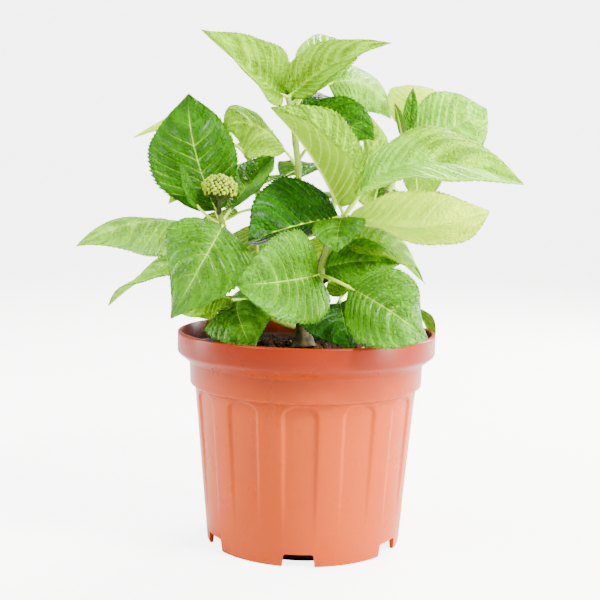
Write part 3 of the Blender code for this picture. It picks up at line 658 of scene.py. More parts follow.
def ball(middle, swell, sides, steps):
    """Flattened ball, the inside of the flower head."""
    points = [middle + Vector((0.0, 0.0, -HEAD_HEIGHT * swell))]
    for row in range(1, steps):
        lift = math.pi * row / steps
        radius, z = HEAD_RADIUS * swell * math.sin(lift), -HEAD_HEIGHT * swell * math.cos(lift)
        points += [middle + Vector((x, y, z)) for x, y in polygon(radius, sides)]
    points.append(middle + Vector((0.0, 0.0, HEAD_HEIGHT * swell)))
    faces = []
    top = len(points) - 1
    for k in range(sides):
        after = (k + 1) % sides
        faces.append((0, 1 + after, 1 + k))
        faces.append((top - sides + k, top - sides + after, top))
        for row in range(steps - 2):
            low = 1 + row * sides
            faces.append((low + k, low + after, low + sides + after, low + sides + k))
    return points, faces


HEAD_MIDDLE = Vector(SHOOTS[0].tip) + HEAD_OFFSET
print("flower head at", [round(v) for v in HEAD_MIDDLE], "mm")

# %% [markdown]
# ## Growing
#
# The garden remembers every solid.  A leaf that would touch something is not grown, and a leaf that is
# left to chance is drawn again.  The seed is fixed, so the plant is the same each time.

# %% Grow the plant
class Garden:
    """Everything that has grown so far, so that the next leaf can keep clear of it."""

    def __init__(self):
        self.solids = []

    def add(self, solid, owner, root=None):
        """Remember a solid, whose it is and which point it springs from."""
        self.solids.append((BVHTree.FromPolygons(*solid), owner, root))

    def free(self, solid, owner=None, root=None):
        """Tell whether a solid is clear of all others, its own shoot's stem and node apart."""
        tree = BVHTree.FromPolygons(*solid)
        for other, other_owner, other_root in self.solids:
            if owner is not None and owner == other_owner:
                if other_root is None or (other_root - root).length < NODE_REACH:
                    continue
            if tree.overlap(other):
                return False
        return True


def sprout(garden, name, leaf, root):
    """Grow one leaf if it is clear of everything."""
    if not garden.free(blade(leaf, root, CLEAR)):
        return False
    if not garden.free(stalk(leaf, root, STALK_CLEAR), name, root):
        return False
    garden.add(blade(leaf, root, 0.0), name + "_blade")
    garden.add(stalk(leaf, root, 0.0), name, root)
    return True


def chance_leaf(fill, rng):
    """A leaf near the direction of a fill, with its sizes left to chance."""
    reach = fill.reach * rng.uniform(0.72, 1.12)
    return Leaf(
        fill.node, fill.turn + rng.uniform(-34.0, 34.0), fill.rise + rng.uniform(-18.0, 22.0), reach,
        reach * rng.uniform(0.54, 0.66), stalk=rng.uniform(8.0, 18.0), arch=rng.uniform(0.08, 0.2),
        sway=rng.uniform(-0.06, 0.06), roll=rng.uniform(-24.0, 24.0), twist=rng.uniform(-16.0, 16.0),
        fold=rng.uniform(6.0, 20.0), curl=rng.uniform(-18.0, -4.0),
    )


def grow():
    """Grow the whole plant; return each leaf with its shoot, its place in the plan and its root."""
    garden = Garden()
    garden.add(pot_solid(pot_columns(PLAIN_OFFSETS), pot_profile(PLAIN_HEIGHTS)), "pot")
    garden.add(mix_solid(), "mix")
    garden.add(main_stem(), "stem")
    for shoot in SHOOTS:
        garden.add(shoot_stem(shoot), shoot.name)
        if shoot.bough:
            foot, tip = shoot.bough.radius_foot, shoot.bough.radius_tip
            garden.add(tube(bough_controls(shoot), foot, tip, 8, 8), "bough")
    garden.add(ball(HEAD_MIDDLE, 1.2, 10, 6), "left_front_head")
    grown = []
    for shoot in SHOOTS:
        for index, leaf in enumerate(shoot.leaves):
            root = bezier(shoot_controls(shoot), leaf.node)
            if sprout(garden, shoot.name, leaf, root):
                grown.append((shoot.name, index, leaf, root))
    rng = random.Random(SEED)
    for shoot in SHOOTS:
        for fill in shoot.fill:
            root = bezier(shoot_controls(shoot), fill.node)
            for _ in range(TRIES):
                leaf = chance_leaf(fill, rng)
                if sprout(garden, shoot.name, leaf, root):
                    grown.append((shoot.name, None, leaf, root))
                    break
    return grown


grown = grow()
print(len(grown), "leaves grown,", sum(1 for g in grown if g[1] is None), "of them by chance")

# %% [markdown]
# ## Leaf finishes
#
# A hydrangea leaf is thin and fleshy: light from behind passes through it and turns yellow-green, while the
# face keeps a soft waxy shine.  So each leaf finish mixes a reflecting shader with one that lets light
# through.  Old leaves are darker and young ones paler, and the veins are paler than the blade.  These
# colours have a place, so they are plain colours dealt out leaf by leaf and face by face.

# %% Leaf materials
def leaf_finish(name, code, glow, roughness, through, coat, tone=1.0):
    """Waxy living leaf: a reflecting face, and a share of light let through in the colour of glow.
    A fine net of veinlets and a grain lift the surface."""
    material, shader = finish(name, code, roughness, ior=1.42, Specular_IOR_Level=0.06 + 0.4 * coat,
                              Coat_Weight=coat, Coat_Roughness=0.22, Coat_IOR=1.4)
    feed(shader, "Base Color", linear(code, tone))
    tree = material.node_tree
    spot = place(tree)
    warp = noise(tree, spot, 160.0, 2.0).outputs["Color"]
    bent = vector_calc(tree, "MULTIPLY_ADD", warp, (0.004, 0.004, 0.004), spot)
    net = add(tree, "ShaderNodeTexVoronoi", {"Vector": bent, "Scale": 310.0}, feature="DISTANCE_TO_EDGE")
    swell = add(tree, "ShaderNodeMapRange", {"Value": net, "From Max": 0.32}, interpolation_type="SMOOTHSTEP")
    relief(shader, calc(tree, "MULTIPLY_ADD", noise(tree, spot, 1100.0, 3.0), 0.5, swell), 0.0009)
    letting = add(tree, "ShaderNodeBsdfTranslucent", {"Color": linear(glow, tone)})
    mixed = add(tree, "ShaderNodeMixShader", {"Fac": through, 1: shader, 2: letting})
    feed(tree.nodes["Material Output"], "Surface", mixed)
    return material


TINTS = {
    # name: blade, light let through, vein, underside, share let through, wax, contrast of the tones
    "deep": ("#225E04", "#529002", "#76AC2E", "#4C7424", 0.20, 0.12, 1.0),
    "dark": ("#357204", "#6CA604", "#A4D044", "#628C34", 0.25, 0.12, 1.0),
    "mid": ("#549602", "#8AC602", "#CCF052", "#80A63C", 0.28, 0.30, 1.0),
    "lime": ("#8EC000", "#C6F000", "#E0FA38", "#A6D002", 0.34, 0.04, 1.2),
    "pale": ("#9CDC30", "#C8F820", "#E0FC80", "#B0E050", 0.36, 0.30, 0.9),
    "cream": ("#E4FF40", "#ECFF30", "#F0FF90", "#E4FF48", 0.65, 0.10, 0.4),
}
# Lighter and darker copies of each blade colour: partly the leaf's own mottle, partly painted light and shade
MOTTLE_AND_SHADE_TONES = (0.55, 0.75, 1.0, 1.3, 1.65)
VEIN_KIND, UNDERSIDE_KIND = len(MOTTLE_AND_SHADE_TONES), len(MOTTLE_AND_SHADE_TONES) + 1
LEAF_FINISHES = {}
for tint, (face, glow, vein, under, through, coat, contrast) in TINTS.items():
    LEAF_FINISHES[tint] = [
        leaf_finish(f"leaf_face_{tint}_{k + 1}", face, glow, 0.27, through, coat, tone ** contrast)
        for k, tone in enumerate(MOTTLE_AND_SHADE_TONES)
    ]
    LEAF_FINISHES[tint].append(leaf_finish(f"leaf_vein_{tint}", vein, glow, 0.34, through, coat))
    LEAF_FINISHES[tint].append(leaf_finish(f"leaf_underside_{tint}", under, glow, 0.60, through, 0.0))
print(len(LEAF_FINISHES), "leaf tints")

# %% [markdown]
# ## The blade of a leaf
#
# The blade is a grid whose rows do not run straight across: they sweep forward from the midrib to the
# margin as the side veins do.  So every vein lies along one row, the blade can swell between the veins
# and dip at them, and the teeth of the margin fall between rows.  The sheet is then given its thickness,
# with a rib standing out beneath the midrib and the side veins.

# %% Leaf grid
VEINS = 8
SWEEP = 0.95
CELL = (0.0, 0.13, 0.26, 0.34, 0.46, 0.60, 0.67, 0.80, 0.93)
VEIN_HALF = 0.0048
TOOTH_AT = (0.0, 0.26, 0.34, 0.60, 0.67, 0.93, 1.0)
TOOTH_OUT = (0.0, 1.0, 0.0, 1.0, 0.0, 1.0, 0.0)
HALF_COLUMNS = (0.018, 0.07, 0.16, 0.26, 0.36, 0.47, 0.58, 0.69, 0.79, 0.88, 0.95, 1.0)
COLUMNS = np.array([-c for c in reversed(HALF_COLUMNS)] + [0.0] + list(HALF_COLUMNS))
TAPER = 0.55
TOOTH = 2.3
QUILT = 1.8
WAVE = 1.3
CHANNEL = 0.55
VEIN_RIB = 0.22
MIDRIB = 0.5
BLADE = 0.42
LARGE_LEAF = 60.0
SMALL_LEAF = 50.0


def forward(share):
    """How far a side vein that leaves the midrib at a share has swept forward at the margin."""
    return SWEEP * share ** 0.55 * (1.0 - share)


def midrib_share(margin):
    """Where a side vein that reaches the margin at a share leaves the midrib."""
    midrib = np.linspace(0.0, 1.0, 800) ** 3
    return float(np.interp(margin, midrib + forward(midrib), midrib))


def leaf_rows():
    """Rows of the grid: share at the midrib, place between two veins, how far a tooth stands out, and
    the step from the vein of a row that lies along one."""
    rows = [(0.0, 0.5, 0.0, 0.0)]
    rows += [(midrib_share(margin), 0.6, 0.9, 0.0) for margin in (0.02, 0.05, 0.08)]
    veins = [midrib_share(margin) for margin in np.linspace(0.11, 0.93, VEINS + 1)]
    for low, high in zip(veins, veins[1:]):
        for t in CELL:
            rows.append((low + (high - low) * t, t, float(np.interp(t, TOOTH_AT, TOOTH_OUT)), 0.0))
            if t == 0.0:
                rows.append((low + VEIN_HALF, 0.04, 0.1, VEIN_HALF))
        rows.append((high - VEIN_HALF, 0.96, 0.1, -VEIN_HALF))
    low = veins[-1]
    for t, tooth in ((0.0, 0.0), (0.3, 0.9), (0.36, 0.2), (0.7, 1.0)):
        rows.append((low + (1.0 - low) * t, 0.5 * t, tooth, 0.0))
    rows.append((1.0, 0.5, 1.0, 0.0))
    return np.array(rows)


ROWS = leaf_rows()


def unit(vectors):
    """Vectors of length one along the last axis."""
    return vectors / np.maximum(np.linalg.norm(vectors, axis=-1, keepdims=True), 1e-9)


def leaf_grid(leaf, root, rng):
    """Middle surface of a blade and its normals, as two grids of points in millimetres."""
    controls, normal = leaf_axis(leaf, root)
    a, b, c = (np.array(point) for point in controls)
    s, cell, tooth, step = (ROWS[:, k][:, None] for k in range(4))
    u = COLUMNS[None, :]
    side = np.abs(u)
    sweep = forward(s) * (0.74 * side + 0.26 * side ** 3)
    share = s + sweep - TAPER * step * side + 0.007 * tooth * (side > 0.99) * (1.0 - s)
    start = leaf.stalk / leaf.reach
    t = (start + (1.0 - start) * share)[..., None]
    middle = a * (1 - t) ** 2 + b * 2 * t * (1 - t) + c * t ** 2
    along = unit((b - a) * (1 - t) + (c - b) * t)
    upper = unit(np.array(normal) - along * (along @ np.array(normal))[..., None])
    across = np.cross(along, upper)
    twist = np.radians(leaf.twist) * (share - 0.5)[..., None]
    turned = upper * np.cos(twist) + across * np.sin(twist)
    out_way = np.cross(along, turned)

    inside = np.clip(share, 0.0, 1.0)
    outline = np.sin(np.pi * inside ** SKEW).clip(0.0) ** FULLNESS * (1.0 - TIP_DRAW * inside ** 8)
    edge = np.where(side > 0.99, TOOTH * (1.0 - tooth), 0.0) * np.minimum(1.0, leaf.width / SMALL_LEAF)
    half = np.maximum(0.5 * leaf.width * outline - edge * np.minimum(1.0, outline * 3.0), 0.12)
    bend = np.radians(leaf.fold) + np.radians(leaf.curl) * np.clip((side - 0.2) / 0.6, 0.0, 1.0)
    mean_out = (np.cos(np.radians(leaf.fold)) + np.cos(bend)) * 0.5
    mean_up = (np.sin(np.radians(leaf.fold)) + np.sin(bend)) * 0.5
    size = leaf.width / LARGE_LEAF
    swell = QUILT * size * np.sin(np.pi * cell) ** 0.7 * np.sin(np.pi * side ** 0.8) ** 0.6 * outline
    phase = 2.0 * np.pi * (2.4 * share + rng.random()) + np.sign(u) * 0.8
    wave = WAVE * size * side ** 2 * np.sin(phase)
    channel = -CHANNEL * size * np.exp(-(side / 0.06) ** 2) * outline ** 0.5
    lift = mean_up * side * half + swell + wave * outline + channel
    sheet = middle + out_way * (np.sign(u) * mean_out * side * half)[..., None] + turned * lift[..., None]
    facing = unit(np.cross(np.gradient(sheet, axis=1), np.gradient(sheet, axis=0)))
    flip = np.sign((facing * turned).sum(-1, keepdims=True))
    return sheet, facing * np.where(flip == 0, 1, flip)


print(len(ROWS), "rows and", len(COLUMNS), "columns in each blade")

# %% [markdown]
# ## From the grid to a closed blade
#
# A real blade is a thin sheet with pale veins, lighter and darker patches between them and a dull underside.
# A painted texture could carry all that, but it blurs when the camera comes close.  So every face of the mesh
# takes one of its tint's finishes: the strip along a vein stays sharp, and the patches follow the swelling.
# The patches are lighter and darker copies of the blade's colour: partly the leaf's own mottle and its paler
# veins, margin and midrib, partly painted light and shade that give the blade its contrast.

# %% Leaf mesh
MOTTLE, PALE_VEINS, PALE_MARGIN, PALE_MIDRIB = 0.3, 0.8, 0.4, 0.5
TONE_STEPS = 2.6
MIDDLE_TONE = 2
GLOW_BEYOND = 0.56


def leaf_mesh(leaf, root, rng, glow_tint):
    """Closed blade: points in metres, faces, and the finish of each face by its place in LEAF_FINISHES.
    On a leaf with a glow tint, the outer part of one half takes the finishes of that second tint: painted
    backlit glow."""
    sheet, facing = leaf_grid(leaf, root, rng)
    rows, columns = sheet.shape[:2]
    on_vein = (np.abs(ROWS[:, 1]) < 0.001) & (ROWS[:, 0] > 0.02)
    side = np.abs(COLUMNS)[None, :]
    rib = VEIN_RIB * on_vein[:, None] * (1.0 - side) * leaf.width / LARGE_LEAF
    rib = rib + MIDRIB * np.exp(-(side / 0.05) ** 2) * (1.0 - ROWS[:, 0:1]) * leaf.width / LARGE_LEAF
    top = sheet + facing * (0.5 * BLADE)
    below = sheet - facing * (0.5 * BLADE + rib)[..., None]
    points = np.concatenate([top.reshape(-1, 3), below.reshape(-1, 3)]) * MM
    i, j = np.meshgrid(np.arange(rows - 1), np.arange(columns - 1), indexing="ij")
    a = i * columns + j
    upper_faces = np.stack([a, a + 1, a + columns + 1, a + columns], -1).reshape(-1, 4)
    count = rows * columns
    lower_faces = upper_faces[:, ::-1] + count
    vein_row = on_vein[:-1] | on_vein[1:]
    narrow = (np.abs(ROWS[:-1, 3]) + np.abs(ROWS[1:, 3])) > 0.0
    column = 0.5 * (COLUMNS[:-1] + COLUMNS[1:])[None, :]
    strip = (vein_row & narrow)[:, None] & (np.abs(column) < 0.9)
    rib_strip = np.abs(column) < 0.01
    place_along = 0.5 * (ROWS[:-1, 0] + ROWS[1:, 0])[:, None]
    cell = 0.5 * (ROWS[:-1, 1] + ROWS[1:, 1])[:, None]
    mottle = np.sin(7.0 * column + 11.0 * place_along + 6.0 * rng.random()) * np.sin(
        9.0 * place_along - 4.0 * column + 6.0 * rng.random())
    # Tone of each face: random mottle and paler veins, margin and midrib, spread wide; partly the leaf's own
    # colour, partly painted light and shade
    tone = MOTTLE * mottle + PALE_VEINS * (0.6 - np.sin(np.pi * cell)) + PALE_MARGIN * (np.abs(column) - 0.5)
    tone = tone + PALE_MIDRIB * np.exp(-(column / 0.09) ** 2)
    tone = np.clip(np.round(TONE_STEPS * tone) + MIDDLE_TONE, 0, len(MOTTLE_AND_SHADE_TONES) - 1).astype(int)
    kinds = np.where(strip | rib_strip, VEIN_KIND, tone)
    if glow_tint:
        # Painted backlit glow: the outer part of the left half takes the second tint's finishes
        turned = (column < 0.0) & (place_along > GLOW_BEYOND + 0.5 * column)
        kinds = np.where(turned, kinds + UNDERSIDE_KIND + 1, kinds)
    kinds = kinds.reshape(-1)
    first, last = np.arange(columns - 1), (rows - 1) * columns + np.arange(columns - 1)
    left, right = np.arange(rows - 1) * columns, np.arange(rows - 1) * columns + columns - 1
    rim = np.concatenate([
        np.stack([first + 1, first, first + count, first + 1 + count], -1),
        np.stack([last, last + 1, last + 1 + count, last + count], -1),
        np.stack([left, left + columns, left + columns + count, left + count], -1),
        np.stack([right + columns, right, right + count, right + columns + count], -1),
    ])
    faces = np.concatenate([upper_faces, lower_faces, rim])
    below_kinds = np.where(strip | rib_strip, VEIN_KIND, UNDERSIDE_KIND).reshape(-1)
    kinds = np.concatenate([kinds, below_kinds, np.full(len(rim), MIDDLE_TONE)])
    return points, faces, kinds


print("each side of a blade has", (len(ROWS) - 1) * (len(COLUMNS) - 1), "faces")

# %% [markdown]
# ## Dealing out the leaves
#
# Every set leaf has its own tint, and a leaf that grew by chance draws one.  The blades of a tint become
# meshes of up to sixteen leaves each, because thousands of small objects are slow to handle.

# %% Leaf pieces
LEAF_TINTS = {
    "left_front": "mid pale pale dark mid dark",
    "centre": "mid mid lime deep cream pale lime lime",
    "top": "lime dark lime lime pale pale",
    "right_rear": "pale mid mid cream",
    "left_rear": "cream mid",
    "rear": "pale mid",
    "low_left": "mid lime",
    "low_right": "deep mid",
}
# The sixth leaf of the centre shoot: its pale tint over most of the blade is painted sheen, and the lime on
# the outer part of one half is painted backlit glow
PAINTED_GLOW_TINTS = {("centre", 5): "lime"}
LEAVES_A_PIECE = 16
SMALL_LEAVES = (
    # the small leaves in the heart of the front shoot, too fine for the solids: shoot, tint, leaf
    ("centre", "mid", Leaf(0.97, 262.0, -34.0, 37.0, 35.0, 2.4, 0.12, 0.0, 8.0, 0.0, 10.0, -12.0, 0.5)),
    ("centre", "mid", Leaf(0.27, 346.0, 6.0, 52.0, 33.0, 2.6, 0.12, 0.0, 58.0, 10.0, 10.0, -12.0, 0.5)),
)


def metres(points):
    """Points in millimetres as points in metres."""
    return [tuple(point * MM) for point in points]


def mesh_object(name, points, faces, materials, kinds=None, edges=()):
    """Smooth-shaded mesh object at the origin, its points in metres."""
    mesh = bpy.data.meshes.new(name)
    mesh.from_pydata(list(points), list(edges), list(faces))
    for material in materials:
        mesh.materials.append(material)
    if kinds is not None:
        mesh.polygons.foreach_set("material_index", np.asarray(kinds, np.int32))
    mesh.shade_smooth()
    mesh.validate()
    obj = bpy.data.objects.new(name, mesh)
    bpy.context.scene.collection.objects.link(obj)
    return obj


def deal_leaves():
    """Group the grown leaves by tint."""
    rng = random.Random(SEED + 1)
    dealt = {tint: [] for tint in LEAF_FINISHES}
    for name, index, leaf, root in grown:
        if index is None:
            tint = rng.choice(("mid", "mid", "dark", "lime", "lime"))
        else:
            tint = LEAF_TINTS[name].split()[index]
        dealt[tint].append((leaf, root, rng, PAINTED_GLOW_TINTS.get((name, index))))
    for name, tint, leaf in SMALL_LEAVES:
        shoot = next(shoot for shoot in SHOOTS if shoot.name == name)
        dealt[tint].append((leaf, bezier(shoot_controls(shoot), leaf.node), rng, None))
    return dealt


def leaf_piece(name, batch, finishes):
    """One mesh of a batch of leaves."""
    points, faces, kinds, offset = [], [], [], 0
    for leaf, root, rng, glow_tint in batch:
        if glow_tint:
            finishes = finishes + LEAF_FINISHES[glow_tint]
        p, f, k = leaf_mesh(leaf, root, rng, glow_tint)
        points.append(p)
        faces.append(f + offset)
        kinds.append(k)
        offset += len(p)
    points, faces, kinds = (np.concatenate(parts) for parts in (points, faces, kinds))
    return mesh_object(name, points.tolist(), faces.tolist(), finishes, kinds)


leaf_objects = []
for tint, batch in deal_leaves().items():
    for k in range(0, len(batch), LEAVES_A_PIECE):
        name = f"leaves_{tint}_{k // LEAVES_A_PIECE + 1}"
        leaf_objects.append(leaf_piece(name, batch[k:k + LEAVES_A_PIECE], LEAF_FINISHES[tint]))
        print(name, 2 * len(leaf_objects[-1].data.polygons), "triangles")

# %% [markdown]
# ## Stems, shoots and leaf stalks
#
# A limb is a round section swept along a curve.  Geometry Nodes do the sweep for all limbs of one kind at
# once: the script lays out a bare polyline for each limb with a thickness at every point, and the tree
# makes the tubes, closes their ends and lifts the bark by a noise.  The result is then read back as a
# plain mesh.

# %% Limb tree
def new_tree(name, sockets):
    """A geometry tree that takes a mesh, a finish and other inputs; return it and its input sockets."""
    tree = bpy.data.node_groups.new(name, "GeometryNodeTree")
    for label, kind in {"Geometry": "Geometry", "Finish": "Material", **sockets}.items():
        tree.interface.new_socket(label, in_out="INPUT", socket_type="NodeSocket" + kind)
    tree.interface.new_socket("Geometry", in_out="OUTPUT", socket_type="NodeSocketGeometry")
    return tree, tree.nodes.new("NodeGroupInput").outputs


def end_tree(tree, geometry, coat):
    """Make the geometry real, give it its finish and send it out of the tree."""
    real = add(tree, "GeometryNodeRealizeInstances", {"Geometry": geometry})
    coated = add(tree, "GeometryNodeSetMaterial", {"Geometry": real, "Material": coat})
    add(tree, "NodeGroupOutput", {"Geometry": coated})
    return tree


def run_tree(obj, tree, values):
    """Run a geometry tree on an object with its inputs set, and keep the result as a plain mesh."""
    modifier = obj.modifiers.new("rule", "NODES")
    modifier.node_group = tree
    for item in tree.interface.items_tree:
        if item.in_out == "INPUT" and item.name in values:
            modifier[item.identifier] = values[item.name]
    evaluated = obj.evaluated_get(bpy.context.evaluated_depsgraph_get())
    mesh = bpy.data.meshes.new_from_object(evaluated)
    obj.modifiers.remove(modifier)
    obj.data = mesh
    return obj


def limb_tree():
    """Polylines with a thickness become closed tubes with a lifted bark."""
    tree, given = new_tree("limbs", {"Sides": "Int", "Bark Relief": "Float", "Bark Grain": "Float"})
    line = add(tree, "GeometryNodeMeshToCurve", {"Mesh": given["Geometry"]})
    thick = add(tree, "GeometryNodeInputNamedAttribute", {"Name": "thickness"}, data_type="FLOAT")
    section = add(tree, "GeometryNodeCurvePrimitiveCircle", {"Resolution": given["Sides"], "Radius": 1.0})
    swept = add(tree, "GeometryNodeCurveToMesh", {
        "Curve": line, "Profile Curve": section, "Scale": thick, "Fill Caps": True,
    })
    lumps = noise(tree, add(tree, "GeometryNodeInputPosition"), given["Bark Grain"], 3.0)
    lift = calc(tree, "MULTIPLY", calc(tree, "SUBTRACT", lumps, 0.5), given["Bark Relief"])
    push = add(tree, "ShaderNodeVectorMath", {0: add(tree, "GeometryNodeInputNormal"), "Scale": lift},
               operation="SCALE")
    moved = add(tree, "GeometryNodeSetPosition", {"Geometry": swept, "Offset": push})
    smooth = add(tree, "GeometryNodeSetShadeSmooth", {"Geometry": moved})
    return end_tree(tree, smooth, given["Finish"])


LIMBS = limb_tree()


def limb_object(name, lines, sides, bark_relief, grain, material):
    """One mesh of all the limbs of a kind; each line is a list of (point in mm, radius in mm)."""
    points, edges, radii = [], [], []
    for line in lines:
        first = len(points)
        points += [tuple(point * MM) for point, _ in line]
        radii += [radius * MM for _, radius in line]
        edges += [(first + k, first + k + 1) for k in range(len(line) - 1)]
    obj = mesh_object(name, points, [], [], edges=edges)
    obj.data.attributes.new("thickness", "FLOAT", "POINT").data.foreach_set("value", radii)
    return run_tree(obj, LIMBS, {
        "Sides": sides, "Bark Relief": bark_relief, "Bark Grain": grain, "Finish": material,
    })


print("limb tree of", len(LIMBS.nodes), "nodes")

# %% [markdown]
# ## Bark and green shoots
#
# The old wood of a hydrangea is tan and cracked, this year's shoots are green and freckled with small
# pores, and the leaf stalks are smooth and pale with a groove along the top.

# %% Limb finishes and limbs
STEM_STATIONS, BOUGH_STEPS, SHOOT_STEPS, STALK_STEPS_FINE = 40, 24, 40, 24
KNOT_LENGTH, KNOT_SWELL = 0.03, 0.16
MIDRIB_END = 0.94
MIDRIB_FOOT, MIDRIB_TIP = 0.85, 0.14
STALK_THIN, STALK_SWELL = 0.99, 0.4
MIDRIB_SINK = 0.35
BARK = speckled("young_shrub_bark", "#544826", 0.72, 260.0, 5.0, ("#2E2814", "#6E6236"), (0.35, 0.68), 0.0006)
SHOOT_SKIN, shoot_shader = finish("green_shoot_skin", "#8A9A48", 0.50)
shoot_tree = SHOOT_SKIN.node_tree
pores = add(shoot_tree, "ShaderNodeTexVoronoi", {"Vector": place(shoot_tree), "Scale": 620.0})
two_tone(shoot_shader, pores, ("#6A5A34", "#8AA82A"), (0.16, 0.30))
STALK_SKIN = finish("pale_leaf_stalk_skin", "#E2FF44", 0.42)[0]


def wood_lines():
    """Main stem with its root flare, and the boughs."""
    heights = np.linspace(STEM_FOOT.z, STEM_FORK.z, STEM_STATIONS)
    lines = [[stem_axis(float(z)) for z in heights]]
    for shoot in SHOOTS:
        if shoot.bough:
            controls = bough_controls(shoot)
            foot, tip = shoot.bough.radius_foot, shoot.bough.radius_tip
            lines.append([(bezier(controls, k / BOUGH_STEPS), foot + (tip - foot) * k / BOUGH_STEPS)
                          for k in range(BOUGH_STEPS + 1)])
    return lines


def shoot_lines():
    """Green shoots, a little thicker where a pair of leaves springs."""
    lines = []
    for shoot in SHOOTS:
        controls = shoot_controls(shoot)
        nodes = [leaf.node for leaf in shoot.leaves + shoot.fill]
        line = []
        for k in range(SHOOT_STEPS + 1):
            t = k / SHOOT_STEPS
            knot = max(math.exp(-((t - n) / KNOT_LENGTH) ** 2) for n in nodes)
            radius = SHOOT_RADIUS + (SHOOT_TIP_RADIUS - SHOOT_RADIUS) * t
            line.append((bezier(controls, t), radius * (0.92 + KNOT_SWELL * knot)))
        lines.append(line)
    return lines


def stalk_lines():
    """Leaf stalks that run on beneath the blade as its midrib."""
    lines = []
    for _, _, leaf, root in grown:
        controls, normal = leaf_axis(leaf, root)
        start = leaf.stalk / leaf.reach
        line = []
        for k in range(STALK_STEPS_FINE + 1):
            t = MIDRIB_END * k / STALK_STEPS_FINE
            past = max(0.0, t - start) / (1.0 - start)
            if past > 0.0:
                radius = MIDRIB_FOOT * (1.0 - past) ** 0.8 + MIDRIB_TIP
            else:
                radius = STALK_THIN + STALK_SWELL * (1.0 - t / start) ** 2
            radius *= 0.70 + 0.30 * min(1.0, leaf.width / SMALL_LEAF)
            along = slope(controls, t)
            down = -(normal - along * normal.dot(along)).normalized()
            drop = (radius + MIDRIB_SINK) * min(1.0, past * 12.0)
            line.append((bezier(controls, t) + down * drop, radius))
        lines.append(line)
    return lines


wood = limb_object("stem_and_boughs", wood_lines(), 28, 0.0011, 420.0, BARK)
green = limb_object("green_shoots", shoot_lines(), 20, 0.0003, 300.0, SHOOT_SKIN)
stalks = limb_object("leaf_stalks", stalk_lines(), 12, 0.00012, 300.0, STALK_SKIN)
for obj in (wood, green, stalks):
    print(obj.name, len(obj.data.polygons), "faces")

# %% [markdown]
# ## The flower head
#
# A young head is a dome of round green buds on short stalks, packed as seeds are: each one turned by the
# golden angle from the last.  The script gives the points, and Geometry Nodes set a bud of its own size
# on each.

# %% Flower head
def chance_number(tree, low, high, seed):
    """A number drawn for each point; its limits are sockets 2 and 3, and it leaves by the second output."""
    return add(tree, "FunctionNodeRandomValue", {2: low, 3: high, "Seed": seed}, data_type="FLOAT").outputs[1]


def bud_tree():
    """A round bud of varying size on every point."""
    tree, given = new_tree("buds", {"Bud Radius": "Float", "Variation": "Float", "Seed": "Int"})
    bud = add(tree, "GeometryNodeMeshIcoSphere", {"Radius": given["Bud Radius"], "Subdivisions": 2})
    size = chance_number(tree, calc(tree, "SUBTRACT", 1.0, given["Variation"]), 1.0, given["Seed"])
    placed = add(tree, "GeometryNodeInstanceOnPoints", {
        "Points": given["Geometry"], "Instance": bud, "Scale": size,
    })
    smooth = add(tree, "GeometryNodeSetShadeSmooth", {"Geometry": placed})
    return end_tree(tree, smooth, given["Finish"])


BUDS = 150
BUD_RADIUS = 1.3
DOME_DEPTH = 1.55
CORE_SWELL = 0.80


def bud_points():
    """Points over the dome of the head, in metres."""
    golden = math.pi * (3.0 - math.sqrt(5.0))
    rng = random.Random(SEED + 2)
    points = []
    for k in range(BUDS):
        z = 1.0 - DOME_DEPTH * (k + 0.5) / BUDS
        level = math.sqrt(1.0 - z * z)
        out = rng.uniform(0.90, 1.09)
        points.append((HEAD_MIDDLE + Vector((
            HEAD_RADIUS * out * level * math.cos(golden * k),
            HEAD_RADIUS * out * level * math.sin(golden * k),
            HEAD_HEIGHT * out * z,
        ))) * MM)
    return points


BUD_SKIN = finish("pale_flower_bud_skin", "#A8C012", 0.45, Specular_IOR_Level=0.2)[0]
HEAD_GREEN = finish("flower_stalk_skin", "#39420C", 0.55)[0]
buds = mesh_object("flower_buds", [tuple(p) for p in bud_points()], [], [])
run_tree(buds, bud_tree(), {
    "Bud Radius": BUD_RADIUS * MM, "Variation": 0.5, "Seed": SEED, "Finish": BUD_SKIN,
})


def head_lines():
    """Stalk of the head and the short stalks that fan out to its buds."""
    foot = Vector(SHOOTS[0].tip) - Vector((0.0, 0.0, 3.0))
    base = HEAD_MIDDLE - Vector((0.0, 0.0, HEAD_HEIGHT * 0.9))
    lines = [[(foot.lerp(base, k / 10), 1.7 - 0.2 * k / 10) for k in range(11)]]
    for k, point in enumerate(bud_points()):
        if k % 3 == 0:
            end = point / MM
            lines.append([(base.lerp(end, t / 5) - UP * (1.2 * math.sin(math.pi * t / 5)), 0.5)
                          for t in range(6)])
    return lines


head = limb_object("flower_stalks", head_lines(), 8, 0.0001, 300.0, HEAD_GREEN)
core_points, core_faces = ball(HEAD_MIDDLE, CORE_SWELL, 28, 16)
core = mesh_object("flower_core", metres(core_points), core_faces, [HEAD_GREEN])
print("flower head:", len(buds.data.polygons), "faces of buds")

# %% [markdown]
# ## The pot
#
# The plastic is coloured right through.  It is brighter low down and deeper in colour on the rim, partly from
# a paler, dusty body and partly painted shade on the rim, with a satin shine that handling has scuffed.
# Inside the mouth and below the foot it is painted dark soil brown: inside the mouth this is partly a soil
# stain and partly painted shade, in the hollow below the foot it is painted shade.  A texture could carry
# this; a rule of height and distance from the axis puts it in place and needs no map.

